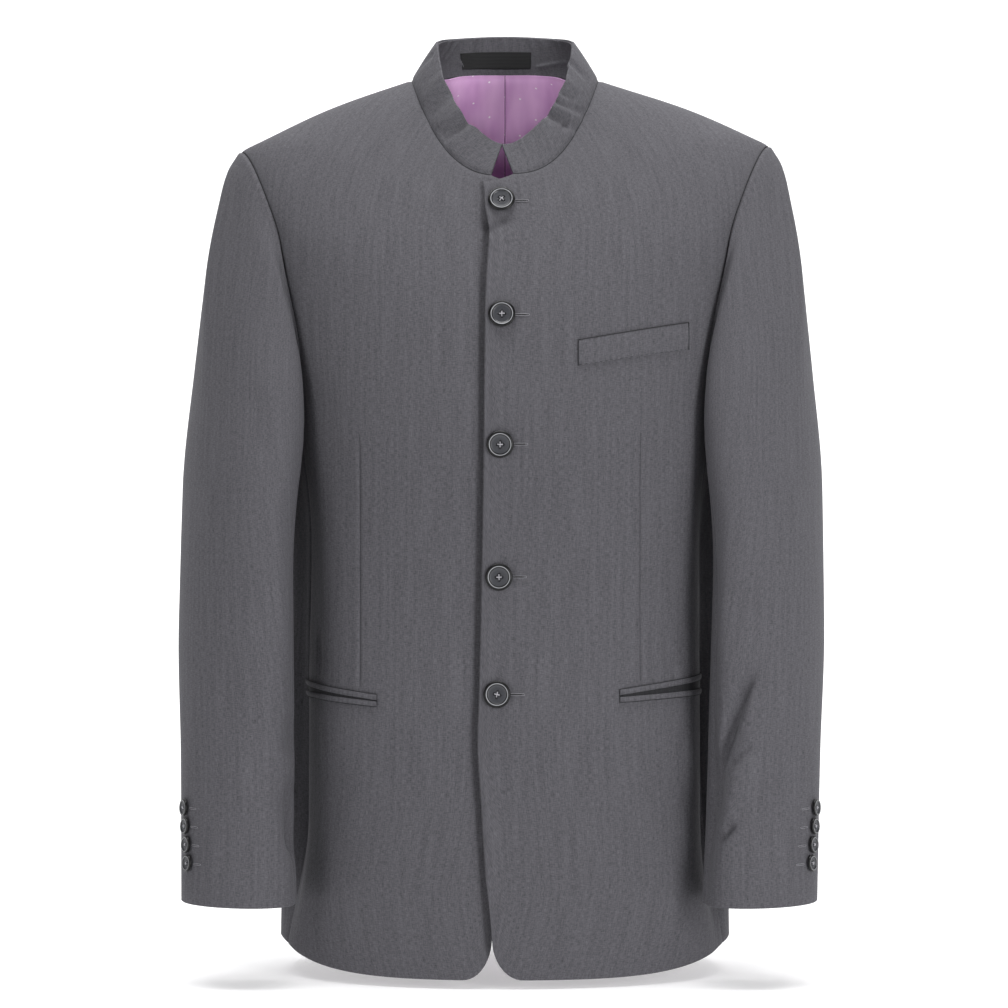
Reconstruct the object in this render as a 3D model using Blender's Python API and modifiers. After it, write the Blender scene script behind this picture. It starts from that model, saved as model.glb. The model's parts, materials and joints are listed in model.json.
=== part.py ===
"""Suit jacket with a band collar: hollow cloth, filled out as when worn, with open neck, hem and cuffs.

Metres, +Z up. The front faces -Y and the wearer's left is +X. The origin lies between the side neck
points, where the wearer's shoulders hold the jacket.
"""
import math
from collections import namedtuple

import bmesh
import bpy
import numpy as np
from mathutils import Vector

# Cloth thicknesses and the gap between pieces that are sewn together
CLOTH = 0.0020
COLLAR_CLOTH = 0.0015
FACING_CLOTH = 0.0012
LINING_CLOTH = 0.0010
LABEL_CLOTH = 0.0006
TRIM_CLOTH = 0.0014
SEAM = 0.0003
TRIM_LIFT = 0.0005
BUTTON_LIFT = 0.0006

# Body rings from the hem up to the neck seam. The side line is the widest line of the body.
SIDE_LINE_Y = 0.010
Ring = namedtuple("Ring", "level half_width front back side_z front_z back_z square swing")
BODY = (
    Ring(0.00, 0.191, 0.128, 0.112, -0.727, -0.748, -0.727, 2.15, 5.0),  # hem
    Ring(0.24, 0.189, 0.130, 0.115, -0.560, -0.562, -0.560, 2.20, 3.0),  # hip
    Ring(0.42, 0.183, 0.122, 0.098, -0.430, -0.430, -0.430, 2.20, 2.0),  # waist
    Ring(0.60, 0.184, 0.133, 0.117, -0.293, -0.295, -0.290, 2.25, 2.0),  # under the arms
    Ring(0.75, 0.202, 0.124, 0.118, -0.180, -0.212, -0.182, 2.15, 2.0),  # shoulder blades
    Ring(0.88, 0.225, 0.105, 0.097, -0.059, -0.146, -0.085, 2.05, 2.0),  # shoulder points
    Ring(0.94, 0.152, 0.091, 0.078, -0.0255, -0.117, -0.032, 2.00, 2.4),  # halfway up the shoulders
    Ring(1.00, 0.080, 0.078, 0.056, -0.001, -0.088, 0.012, 2.00, 2.9),   # neck seam
)
# The shoulder is a firm ridge at the side and rounds off over this many levels towards the middle.
# The wearer's left shoulder sits a little higher than the right one.
SHOULDER_ROUND = 0.10
SHOULDER_START = 0.60
SHOULDER_SAMPLES = 15
SHOULDER_ROW = 5
SHOULDER_LEAN = 0.0110
COLLAR_TOP = Ring(2.00, 0.0585, 0.063, 0.052, 0.0365, -0.0625, 0.0440, 2.9, 2.35)

# Armhole: its top and foot on the body, and how far it reaches to the front and the back
ARMHOLE_TOP = 0.880
ARMHOLE_FOOT = 0.605
ARMHOLE_REACH = math.radians(29)
ARMHOLE_SLANT = 1.4
ARMHOLE_ROUND = 0.45

# Seams of the body: where the side panel's seams meet the hem and the armhole
FRONT_SEAM_HEM = math.radians(74)
BACK_SEAM_HEM = math.radians(118)
FRONT_SEAM_ARM = math.radians(142)
BACK_SEAM_ARM = math.radians(218)

# Sleeve rings from the armhole down to the cuff: the outer and inner edges of the outline seen from the
# front, the middle and half depth from front to back, and how far the front of the ring toes in
Cuff = namedtuple("Cuff", "run outer_x outer_z inner_x inner_z mid_y half_depth toe")
SLEEVE = (
    Cuff(0.00, 0.2230, -0.061, 0.1800, -0.287, 0.006, 0.0640, 0.000),
    Cuff(0.03, 0.2363, -0.077, 0.1840, -0.292, 0.004, 0.0680, 0.010),
    Cuff(0.09, 0.2499, -0.108, 0.1800, -0.308, -0.002, 0.0730, 0.022),
    Cuff(0.18, 0.2643, -0.165, 0.1755, -0.334, -0.010, 0.0750, 0.030),
    Cuff(0.30, 0.2702, -0.245, 0.1740, -0.372, -0.022, 0.0722, 0.032),
    Cuff(0.45, 0.2717, -0.345, 0.1720, -0.430, -0.038, 0.0662, 0.029),
    Cuff(0.62, 0.2713, -0.460, 0.1700, -0.500, -0.054, 0.0586, 0.024),
    Cuff(0.80, 0.2662, -0.570, 0.1680, -0.590, -0.069, 0.0500, 0.017),
    Cuff(1.00, 0.2624, -0.688, 0.1655, -0.689, -0.084, 0.0435, 0.010),
)
SLEEVE_SWAY = -0.0047
SLEEVE_LENGTH = 0.63
ARMHOLE_FADE = 0.45
FRONT_SLEEVE_SEAM = math.radians(165)
BACK_SLEEVE_SEAM = math.radians(-12)

# Largest folds of the sleeves: a trough where the depth is positive, a ridge where it is negative
Fold = namedtuple("Fold", "side around run slant half_length half_width depth")
FOLDS = (
    Fold(1, 126, 0.800, 62, 0.052, 0.013, 0.0050),
    Fold(1, 104, 0.835, 58, 0.050, 0.016, -0.0030),
    Fold(1, 120, 0.880, 40, 0.030, 0.012, 0.0025),
    Fold(-1, 140, 0.860, 60, 0.045, 0.014, 0.0040),
    Fold(-1, 215, 0.560, 75, 0.060, 0.018, 0.0040),
    Fold(1, 215, 0.540, 70, 0.060, 0.018, 0.0040),
)

# Front edges: the overlapping left edge and the right edge that lies under it
Edge = namedtuple("Edge", "z left_x right_x")
EDGES = (
    Edge(-0.748, -0.0100, -0.0110),
    Edge(-0.717, -0.0106, -0.0108),
    Edge(-0.670, -0.0146, -0.0010),
    Edge(-0.605, -0.0187, 0.0100),
    Edge(-0.555, -0.0216, 0.0120),
    Edge(-0.515, -0.0203, 0.0120),
    Edge(-0.300, -0.0163, 0.0120),
    Edge(-0.098, -0.0147, 0.0120),
)
CORNER_WIDTH = 0.022
CORNER_HEIGHT = 0.034
CORNER_STEPS = 4
CORNER_FADE = 0.10
UNDERLAP_NEAR = 0.004
UNDERLAP_FAR = 0.030

# Collar ends: half the gap between them at the neck seam and at the top edge
COLLAR_CENTRE_X = -0.0025
COLLAR_GAP_FOOT = 0.0100
COLLAR_GAP_TOP = 0.0004
COLLAR_END_CLEAR = 0.013
COLLAR_RIGHT_FRONT = math.radians(270)
NECK_DROP = 0.016
NECK_FADE = 0.10

# Label on the inner collar, as a share of the collar's height
LABEL_MIDDLE_X = -0.0075
LABEL_HALF_WIDTH = 0.030
LABEL_FOOT = 0.16
LABEL_TOP = 0.60
LABEL_COLUMNS = 9
LABEL_ROWS = 3

# Pockets: places on the front seen from the front, at the end near the middle and the end near the side
Strip = namedtuple("Strip", "near_x near_low near_high far_x far_low far_high")
CHEST_WELT = Strip(0.0597, -0.2497, -0.2286, 0.1505, -0.2349, -0.2123)
UPPER_JET = Strip(0.0990, -0.5212, -0.5152, 0.1700, -0.5070, -0.5010)
LOWER_JET = Strip(0.0990, -0.5282, -0.5222, 0.1700, -0.5150, -0.5090)
POCKET_CENTRE_X = -0.0055
STRIP_COLUMNS = 9
STRIP_ROWS = 3

# Buttons
Button = namedtuple("Button", "x z")
FRONT_BUTTONS = (
    Button(-0.0029, -0.112),
    Button(-0.0026, -0.208),
    Button(-0.0040, -0.3135),
    Button(-0.0049, -0.4213),
    Button(-0.0065, -0.5167),
)
FRONT_BUTTON_DIAMETER = 0.0212
FRONT_BUTTON_HEIGHT = 0.0034
FRONT_BUTTON_STEPS = 18
CUFF_BUTTON_DIAMETER = 0.0142
CUFF_BUTTON_HEIGHT = 0.0030
CUFF_BUTTON_STEPS = 14
CUFF_BUTTON_COUNT = 4
CUFF_BUTTON_TOP_Z = -0.6115
CUFF_BUTTON_PITCH = 0.0148
CUFF_BUTTON_AROUND = math.radians(13)
CUFF_BUTTON_TURN = math.radians(3)

# Profile of a button from the middle of its face to the middle of its back, as shares of radius and height
Turn = namedtuple("Turn", "radius height")
BUTTON_PROFILE = (
    Turn(0.00, 0.72),
    Turn(0.62, 0.72),
    Turn(0.76, 1.00),
    Turn(0.90, 1.00),
    Turn(1.00, 0.70),
    Turn(0.90, 0.32),
    Turn(0.45, 0.10),
    Turn(0.00, 0.00),
)
BUTTON_MERGE = 0.00001

# How finely the cloth is divided
ROWS_BODY = 14
ROWS_ARMHOLE = 8
ROWS_SHOULDER = 4
COLUMNS_FRONT = 9
COLUMNS_BACK = 10
COLUMNS_SIDE = 5
ROWS_COLLAR = 3
SLEEVE_RUNS = (0.0, 0.02, 0.05, 0.09, 0.14, 0.20, 0.27, 0.34, 0.41, 0.48, 0.54, 0.60, 0.66,
               0.71, 0.755, 0.79, 0.825, 0.86, 0.90, 0.95, 1.0)
FRONT_SEAM_SAMPLE = ROWS_ARMHOLE - 1
BACK_SEAM_STEPS = 4
BACK_SEAM_SAMPLE = ROWS_ARMHOLE + COLUMNS_SIDE + BACK_SEAM_STEPS
STEEPEST_MITRE = 0.45
SHARP_EDGE = math.radians(40)
STEP = 1e-4
LOCATE_ROUNDS = 20
HEM_SAMPLES = 40
LOWER_SLEEVE = 0.5
LOWER_SLEEVE_SAMPLES = 400


def unit(vectors):
    """Vectors of length one."""
    return vectors / np.linalg.norm(vectors, axis=-1, keepdims=True)


def ease(share):
    """Rise from 0 to 1 that starts and ends level."""
    share = np.clip(share, 0.0, 1.0)
    return share * share * (3.0 - 2.0 * share)


def read_rows(table, place):
    """Smooth curves through all columns of a table, read at a place along its first column.

    A curve's slope at a row is the harmonic mean of the slopes on both sides, and level where they
    turn back, so no curve swings past the rows.
    """
    rows = np.array(table)
    knots = rows[:, 0]
    steep = np.diff(rows, axis=0) / np.diff(knots)[:, None]
    before, after = steep[:-1], steep[1:]
    same_way = before * after > 0
    total = np.where(same_way, before + after, 1.0)
    middle = np.where(same_way, 2.0 * before * after / total, 0.0)
    slopes = np.concatenate([steep[:1], middle, steep[-1:]])
    place = np.asarray(place, dtype=float)
    first = np.clip(np.searchsorted(knots, place) - 1, 0, len(knots) - 2)
    span = (knots[first + 1] - knots[first])[..., None]
    share = (place - knots[first])[..., None] / span
    start = rows[first] * (2 * share**3 - 3 * share**2 + 1)
    end = rows[first + 1] * (3 * share**2 - 2 * share**3)
    start_slope = slopes[first] * span * (share**3 - 2 * share**2 + share)
    end_slope = slopes[first + 1] * span * (share**3 - share**2)
    return start + end + start_slope + end_slope


def between(table, name, place):
    """One column of a table, read at a place along its first column."""
    return read_rows(table, place)[..., table[0]._fields.index(name)]


def ring_point(angle, ring):
    """Point on a rounded ring: angle 0 is the front centre, 90 degrees the wearer's left side."""
    cosine = np.cos(angle)
    sine = np.sin(angle)
    bulge = (np.abs(cosine)**ring.square + np.abs(sine)**ring.square)**(-1.0 / ring.square)
    forward = cosine > 0
    depth = np.where(forward, ring.front, ring.back)
    rise = np.where(forward, ring.front_z, ring.back_z) - ring.side_z
    x = ring.half_width * sine * bulge
    y = SIDE_LINE_Y - depth * cosine * bulge
    z = ring.side_z + rise * (1.0 - np.abs(sine)**ring.swing)
    return np.stack(np.broadcast_arrays(x, y, z), axis=-1)


def body_point(angle, level):
    """Outer face of the body at an angle round it and a level from hem to neck seam."""
    angle, level = np.broadcast_arrays(np.asarray(angle, dtype=float), np.asarray(level, dtype=float))
    fade = ease((1.0 - level) / SHOULDER_ROUND) * ease((level - SHOULDER_START) / SHOULDER_ROUND)
    spread = SHOULDER_ROUND * fade * np.abs(np.cos(angle))
    steps = np.linspace(-1.0, 1.0, SHOULDER_SAMPLES).reshape((-1,) + (1,) * level.ndim)
    place = level + spread * steps
    on_shoulder = (place > ARMHOLE_TOP)[..., None]
    rows = np.where(on_shoulder, read_rows(BODY[SHOULDER_ROW:], place), read_rows(BODY[:SHOULDER_ROW + 1], place))
    points = ring_point(angle, Ring(*np.moveaxis(rows.mean(axis=0), -1, 0)))
    points[..., 2] += SHOULDER_LEAN * fade * points[..., 0]
    return points


def collar_point(angle, height):
    """Outer face of the collar, straight from the neck seam at height 0 to its top edge at 1."""
    foot = BODY[-1]
    columns = {}
    for name in Ring._fields:
        low = getattr(foot, name)
        columns[name] = low + (getattr(COLLAR_TOP, name) - low) * np.asarray(height, dtype=float)
    return ring_point(angle, Ring(**columns))


def normal_of(surface, first, second):
    """Outward unit normals of a surface whose first parameter runs left to right and second upwards."""
    along = surface(first + STEP, second) - surface(first - STEP, second)
    across = surface(first, second + STEP) - surface(first, second - STEP)
    return unit(np.cross(along, across))


def locate(x, z):
    """Angle and level of the points of the body's front seen at x and z."""
    angle = np.asarray(x, dtype=float) / BODY[2].half_width
    level = 1.0 + np.asarray(z, dtype=float) / -BODY[0].side_z
    for _ in range(LOCATE_ROUNDS):
        here = body_point(angle, level)
        by_angle = (body_point(angle + STEP, level) - here) / STEP
        by_level = (body_point(angle, level + STEP) - here) / STEP
        off_x = x - here[..., 0]
        off_z = z - here[..., 2]
        scale = by_angle[..., 0] * by_level[..., 2] - by_level[..., 0] * by_angle[..., 2]
        angle = angle + (off_x * by_level[..., 2] - off_z * by_level[..., 0]) / scale
        level = level + (off_z * by_angle[..., 0] - off_x * by_angle[..., 2]) / scale
    return angle, level


def armhole(around):
    """Armhole on the wearer's left: 0 at the shoulder point, 90 degrees in front, 180 at its foot."""
    sine = np.sin(around)
    upper = np.sin(np.minimum(ARMHOLE_SLANT * np.arccos(np.cos(around)), math.pi / 2))
    share = np.where(np.cos(around) > 0, upper, np.abs(sine)**ARMHOLE_ROUND)
    angle = math.pi / 2 - ARMHOLE_REACH * np.sign(sine) * share
    level = (ARMHOLE_TOP + ARMHOLE_FOOT) / 2 + (ARMHOLE_TOP - ARMHOLE_FOOT) / 2 * np.cos(around)
    return angle, level


def armhole_samples():
    """Turns round the armhole at which the body and the sleeve meet point for point."""
    front = np.linspace(0.0, FRONT_SEAM_ARM, ROWS_ARMHOLE + 1)
    foot = np.linspace(FRONT_SEAM_ARM, BACK_SEAM_ARM, COLUMNS_SIDE + 1)
    back = np.linspace(BACK_SEAM_ARM, 2 * math.pi, ROWS_ARMHOLE + 1)
    return front, foot, back


def fold_depth(around, run, side):
    """Depth of the sleeve's folds: long soft troughs and ridges laid at a slant."""
    depth = np.zeros(np.broadcast(around, run).shape)
    for fold in FOLDS:
        if fold.side != side:
            continue
        ring_radius = between(SLEEVE, "half_depth", fold.run)
        turn = np.mod(around - math.radians(fold.around) + math.pi, 2 * math.pi) - math.pi
        level = turn * ring_radius
        down = (run - fold.run) * SLEEVE_LENGTH
        slant = math.radians(fold.slant)
        length = level * math.cos(slant) + down * math.sin(slant)
        width = down * math.cos(slant) - level * math.sin(slant)
        depth = depth + fold.depth * np.exp(-(length / fold.half_length)**4 - (width / fold.half_width)**2)
    return depth


def sleeve_point(around, run, side):
    """Outer face of a sleeve: a toed-in oval ring between the outline's outer and inner edges."""
    ring = Cuff(*np.moveaxis(read_rows(SLEEVE, run), -1, 0))
    outline = (ring.outer_x - ring.inner_x) / 2
    reach_x = np.sqrt(outline**2 - ring.toe**2)
    reach_z = (ring.outer_z - ring.inner_z) / 2
    shrink = 1.0 - fold_depth(around, run, side) / ring.half_depth
    cosine = np.cos(around) * shrink
    sine = np.sin(around) * shrink
    x = (ring.outer_x + ring.inner_x) / 2 + reach_x * cosine - ring.toe * sine
    x = side * x + SLEEVE_SWAY * ring.run
    y = ring.mid_y - ring.half_depth * sine
    z = (ring.outer_z + ring.inner_z) / 2 + reach_z * cosine
    return np.stack(np.broadcast_arrays(x, y, z), axis=-1)


def sleeve_tube(side):
    """Points and outward normals of a whole sleeve, a row for each ring, starting on the armhole."""
    front, foot, back = armhole_samples()
    turns = np.concatenate([front, foot[1:], back[1:-1]])
    count = len(turns)
    top_steps = count - BACK_SEAM_SAMPLE + FRONT_SEAM_SAMPLE
    place = np.arange(count)
    on_top = (place <= FRONT_SEAM_SAMPLE) | (place >= BACK_SEAM_SAMPLE)
    top_place = np.mod(place - BACK_SEAM_SAMPLE, count) / top_steps
    under_place = (place - FRONT_SEAM_SAMPLE) / (BACK_SEAM_SAMPLE - FRONT_SEAM_SAMPLE)
    top_turn = BACK_SLEEVE_SEAM + (FRONT_SLEEVE_SEAM - BACK_SLEEVE_SEAM) * top_place
    top_turn = np.where(place >= BACK_SEAM_SAMPLE, top_turn + 2 * math.pi, top_turn)
    under_end = BACK_SLEEVE_SEAM + 2 * math.pi
    under_turn = FRONT_SLEEVE_SEAM + (under_end - FRONT_SLEEVE_SEAM) * under_place
    cuff_turns = np.where(on_top, top_turn, under_turn)
    runs = np.array(SLEEVE_RUNS)[:, None]
    around = turns + (cuff_turns - turns) * ease(runs)
    angle, level = armhole(turns)
    seam = body_point(side * angle, level)
    fade = (1.0 - ease(runs / ARMHOLE_FADE))[..., None]
    points = sleeve_point(around, runs, side) + fade * (seam - sleeve_point(turns, 0.0, side))
    along = np.roll(points, -1, axis=1) - np.roll(points, 1, axis=1)
    down = np.gradient(points, np.array(SLEEVE_RUNS), axis=0)
    return points, side * unit(np.cross(along, down))


def mitre(first_normals, second_normals):
    """Direction through the cloth at a seam, shared by the two pieces that meet there at an angle."""
    middle = unit(first_normals + second_normals)
    lean = np.sum(middle * first_normals, axis=-1, keepdims=True)
    return middle / np.maximum(lean, STEEPEST_MITRE)


def neck_mitre(angle):
    """Direction through the cloth along the neck seam, between the body and the collar."""
    return mitre(normal_of(body_point, angle, 1.0), normal_of(collar_point, angle, 0.0))


def take_in(points, through, sides):
    """Move the named edges of a grid of points in by half a seam, within the cloth."""
    moved = points.copy()
    edges = {
        "left": (np.s_[:, 0], np.s_[:, 1]),
        "right": (np.s_[:, -1], np.s_[:, -2]),
        "bottom": (np.s_[0, :], np.s_[1, :]),
        "top": (np.s_[-1, :], np.s_[-2, :]),
    }
    for side in sides:
        edge, neighbour = edges[side]
        tangent = unit(np.gradient(points[edge], axis=0))
        inward = points[neighbour] - points[edge]
        inward = inward - tangent * np.sum(inward * tangent, axis=-1, keepdims=True)
        reach = np.linalg.norm(through[edge], axis=-1, keepdims=True)
        moved[edge] = moved[edge] + unit(inward) * reach * SEAM / 2
    return moved


def make_object(name, mesh, collection, material):
    """Object of a mesh in the jacket's collection, with its material and smooth shading."""
    mesh.materials.append(material)
    mesh.shade_smooth()
    mesh.set_sharp_from_angle(angle=SHARP_EDGE)
    piece = bpy.data.objects.new(name, mesh)
    collection.objects.link(piece)
    return piece


def wall(name, outer, inner, collection, material):
    """Closed cloth wall between an outer and an inner grid of points, with a rim round its edge."""
    rows, columns = outer.shape[:2]
    count = rows * columns
    index = np.arange(count).reshape(rows, columns)
    faces = []
    for layer in (0, count):
        for row in range(rows - 1):
            for column in range(columns - 1):
                low = index[row, column:column + 2] + layer
                high = index[row + 1, column:column + 2] + layer
                faces.append((low[0], low[1], high[1], high[0]))
    loop = list(index[0, :-1]) + list(index[:-1, -1]) + list(index[-1, :0:-1]) + list(index[:0:-1, 0])
    points = np.concatenate([outer.reshape(-1, 3), inner.reshape(-1, 3)])
    for here, after in zip(loop, loop[1:] + loop[:1]):
        low, high = (here, after) if points[here, 2] < points[after, 2] else (after, here)
        faces.append((low, high, high + count))
        faces.append((low, high + count, low + count))
    cloth = bmesh.new()
    vertices = [cloth.verts.new(point) for point in points]
    for face in faces:
        cloth.faces.new([vertices[corner] for corner in face])
    bmesh.ops.recalc_face_normals(cloth, faces=cloth.faces)
    mesh = bpy.data.meshes.new(name)
    cloth.to_mesh(mesh)
    cloth.free()
    return make_object(name, mesh, collection, material)


def edge_angle(level, column):
    """Angle of a front edge at each level, from the table of front edges."""
    centre = body_point(0.0, level)
    edge_x = between(EDGES, column, centre[..., 2])
    return np.arctan2(edge_x, between(BODY, "half_width", level))


def underlap(points):
    """How far the right front lies under the left front's edge, so that the two don't touch."""
    edge_x = between(EDGES, "left_x", points[..., 2])
    start = edge_x - UNDERLAP_FAR
    return (CLOTH + SEAM) * ease((points[..., 0] - start) / (UNDERLAP_FAR - UNDERLAP_NEAR))


def panel_seams():
    """Angle and level, on the wearer's left, along each panel's seams from the hem to the neck."""
    front_turns, foot_turns, back_turns = armhole_samples()
    share = np.linspace(0.0, 1.0, ROWS_BODY + 1)
    shoulder = np.linspace(ARMHOLE_TOP, 1.0, ROWS_SHOULDER + 1)[1:]
    shoulder_angle = np.full(ROWS_SHOULDER, math.pi / 2)

    def up_to_neck(hem_angle, arm_turns):
        arm_angle, arm_level = armhole(arm_turns)
        seam_angle = hem_angle + (arm_angle[0] - hem_angle) * share
        seam_level = arm_level[0] * share
        angles = np.concatenate([seam_angle, arm_angle[1:], shoulder_angle])
        levels = np.concatenate([seam_level, arm_level[1:], shoulder])
        return angles, levels

    front = up_to_neck(FRONT_SEAM_HEM, front_turns[::-1])
    back = up_to_neck(BACK_SEAM_HEM, back_turns)
    return front, back, armhole(foot_turns), share


def front_columns():
    """Shares across a front: arc steps round the hem corner, then even steps to the side seam."""
    turn = np.linspace(0.0, math.pi / 2, CORNER_STEPS + 1)
    hem = body_point(np.linspace(0.0, FRONT_SEAM_HEM, HEM_SAMPLES), 0.0)
    hem_length = np.sum(np.linalg.norm(np.diff(hem, axis=0), axis=-1))
    corner = CORNER_WIDTH * (1.0 - np.cos(turn)) / hem_length
    rest = np.linspace(corner[-1], 1.0, COLUMNS_FRONT + 1)[1:]
    lift = CORNER_HEIGHT * (1.0 - np.sin(turn))
    return np.concatenate([corner, rest]), np.concatenate([lift, np.zeros(COLUMNS_FRONT)])


def front_grid(side):
    """Angles and levels of a front, with its hem corner rounded and its neck corner lowered."""
    (seam_angle, seam_level), _, _, _ = panel_seams()
    shares, lift = front_columns()
    low, high = body_point(0.0, np.array([0.0, CORNER_FADE]))[:, 2]
    lift_level = lift * CORNER_FADE / (high - low)
    near_hem = np.clip(1.0 - seam_level / CORNER_FADE, 0.0, 1.0)[:, None]
    levels = seam_level[:, None] + lift_level * near_hem
    edge = edge_angle(levels[:, 0], "left_x" if side > 0 else "right_x")
    angles = edge[:, None] + (side * seam_angle - edge)[:, None] * shares
    past_centre = side * COLLAR_CENTRE_X - side * body_point(angles, levels)[..., 0]
    drop = np.clip((past_centre + COLLAR_GAP_FOOT) / (2 * COLLAR_GAP_FOOT), 0.0, 1.0)
    near_neck = np.clip(1.0 - (1.0 - seam_level) / NECK_FADE, 0.0, 1.0)[:, None]
    return angles, levels - NECK_DROP * drop * near_neck


def add_fronts(sleeve_normals, collection, material):
    """Left and right fronts, the right one dipping under the left one's edge."""
    for side, name in ((1, "front_left"), (-1, "front_right")):
        angles, levels = front_grid(side)
        points = body_point(angles, levels)
        normals = normal_of(body_point, angles, levels)
        through = normals.copy()
        arm = np.s_[ROWS_BODY:ROWS_BODY + ROWS_ARMHOLE + 1, -1]
        through[arm] = mitre(normals[arm], sleeve_normals[side][ROWS_ARMHOLE::-1])
        through[-1] = neck_mitre(angles[-1])
        if side < 0:
            points = points - normals * underlap(points)[..., None]
        outer = take_in(points, through, ("right", "top"))
        wall(name, outer, outer - through * CLOTH, collection, material)


def add_sides(sleeve_normals, collection, material):
    """Side panels, from the hem up to the foot of the armhole."""
    _, _, (arm_angle, arm_level), share = panel_seams()
    hem_angle = np.linspace(FRONT_SEAM_HEM, BACK_SEAM_HEM, COLUMNS_SIDE + 1)
    for side, name in ((1, "side_left"), (-1, "side_right")):
        angles = side * (hem_angle + (arm_angle - hem_angle) * share[:, None])
        levels = arm_level * share[:, None]
        points = body_point(angles, levels)
        through = normal_of(body_point, angles, levels)
        foot = sleeve_normals[side][ROWS_ARMHOLE:ROWS_ARMHOLE + COLUMNS_SIDE + 1]
        through[-1] = mitre(through[-1], foot)
        outer = take_in(points, through, ("left", "right", "top"))
        wall(name, outer, outer - through * CLOTH, collection, material)


def add_backs(sleeve_normals, collection, material, lining_material):
    """Back halves with a centre seam, and the lining that shows inside them."""
    _, (seam_angle, seam_level), _, _ = panel_seams()
    shares = np.linspace(0.0, 1.0, COLUMNS_BACK + 1)
    for side, word in ((1, "left"), (-1, "right")):
        angles = side * (seam_angle[:, None] + (math.pi - seam_angle[:, None]) * shares)
        levels = seam_level[:, None] + np.zeros_like(shares)
        points = body_point(angles, levels)
        through = normal_of(body_point, angles, levels)
        arm = np.s_[ROWS_BODY:ROWS_BODY + ROWS_ARMHOLE + 1, 0]
        first = ROWS_ARMHOLE + COLUMNS_SIDE
        around = np.concatenate([sleeve_normals[side][first:], sleeve_normals[side][:1]])
        through[arm] = mitre(through[arm], around)
        through[-1] = neck_mitre(angles[-1])
        outer = take_in(points, through, ("left", "right", "top"))
        wall("back_" + word, outer, outer - through * CLOTH, collection, material)
        lining = np.s_[1:, :]
        face = outer[lining] - through[lining] * (CLOTH + SEAM)
        back = face - through[lining] * LINING_CLOTH
        wall("lining_back_" + word, face, back, collection, lining_material)


def add_sleeves(tubes, collection, material):
    """Top and under sleeves, split along the sleeve's front and back seams."""
    for side, word in ((1, "left"), (-1, "right")):
        points, normals = tubes[side]
        count = points.shape[1]
        angle, level = armhole(np.concatenate([turns[:-1] for turns in armhole_samples()]))
        through = normals.copy()
        through[0] = mitre(normals[0], normal_of(body_point, side * angle, level))
        top = np.arange(BACK_SEAM_SAMPLE, count + FRONT_SEAM_SAMPLE + 1) % count
        under = np.arange(FRONT_SEAM_SAMPLE, BACK_SEAM_SAMPLE + 1)
        for kind, columns in (("top", top), ("under", under)):
            cloth_through = through[:, columns]
            outer = take_in(points[:, columns], cloth_through, ("left", "right", "bottom"))
            name = "sleeve_" + kind + "_" + word
            wall(name, outer, outer - cloth_through * CLOTH, collection, material)


def collar_angles():
    """Angles round the neck at which the collar meets the fronts and backs point for point."""
    left = front_grid(1)[0][-1]
    right = front_grid(-1)[0][-1]
    back = np.linspace(math.pi / 2, math.pi, COLUMNS_BACK + 1)
    past_end = COLLAR_END_CLEAR / BODY[-1].half_width
    left = left[left > past_end]
    right = 2 * math.pi + right[right < -past_end][::-1]
    around_back = np.concatenate([back, 2 * math.pi - back[-2::-1]])
    return np.concatenate([left, around_back[1:-1], right])


def collar_grid():
    """Angles and heights of the collar, whose two ends slant towards each other at the front."""
    heights = np.linspace(0.0, 1.0, ROWS_COLLAR + 1)[:, None]
    gap = COLLAR_GAP_FOOT + (COLLAR_GAP_TOP - COLLAR_GAP_FOOT) * heights
    foot = BODY[-1].half_width
    half_width = foot + (COLLAR_TOP.half_width - foot) * heights
    left_end = np.arctan((COLLAR_CENTRE_X + gap) / half_width)
    right_end = 2 * math.pi + np.arctan((COLLAR_CENTRE_X - gap) / half_width)
    middle = np.repeat(collar_angles()[None, :], len(heights), axis=0)
    angles = np.concatenate([left_end, middle, right_end], axis=1)
    return angles, heights + np.zeros_like(angles)


def add_collar(collection, material, facing_material):
    """Band collar of two layers: the outer one and the inner one that shows at the back of the neck."""
    angles, heights = collar_grid()
    points = collar_point(angles, heights)
    through = normal_of(collar_point, angles, heights)
    dip = underlap(points) * (angles > COLLAR_RIGHT_FRONT) * (1.0 - heights)
    points = points - through * dip[..., None]
    through[0] = neck_mitre(angles[0])
    outer = take_in(points, through, ("bottom",))
    wall("collar", outer, outer - through * COLLAR_CLOTH, collection, material)
    face = outer - through * (COLLAR_CLOTH + SEAM)
    wall("collar_facing", face, face - through * FACING_CLOTH, collection, facing_material)


def add_label(collection, material):
    """Plain label on the inner collar at the back of the neck."""
    across = np.linspace(-LABEL_HALF_WIDTH, LABEL_HALF_WIDTH, LABEL_COLUMNS) + LABEL_MIDDLE_X
    heights = np.linspace(LABEL_FOOT, LABEL_TOP, LABEL_ROWS)[:, None]
    half_width = collar_point(math.pi / 2, heights)[..., 0]
    angles = math.pi - np.arcsin(across[::-1] / half_width)
    heights = heights + np.zeros_like(angles)
    normals = normal_of(collar_point, angles, heights)
    depth = COLLAR_CLOTH + FACING_CLOTH + SEAM + TRIM_LIFT
    face = collar_point(angles, heights) - normals * depth
    wall("label", face, face - normals * LABEL_CLOTH, collection, material)


def add_strip(name, strip, side, centre_x, collection, material):
    """Strip of cloth on a front, made from the front's own points and moved out."""
    share = np.linspace(0.0, 1.0, STRIP_COLUMNS)
    x = centre_x + side * (strip.near_x + (strip.far_x - strip.near_x) * share)
    low = strip.near_low + (strip.far_low - strip.near_low) * share
    high = strip.near_high + (strip.far_high - strip.near_high) * share
    rows = np.linspace(0.0, 1.0, STRIP_ROWS)[:, None]
    angles, levels = locate(x + np.zeros_like(rows), low + (high - low) * rows)
    normals = normal_of(body_point, angles, levels)
    back = body_point(angles, levels) + normals * TRIM_LIFT
    wall(name, back + normals * TRIM_CLOTH, back, collection, material)


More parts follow.
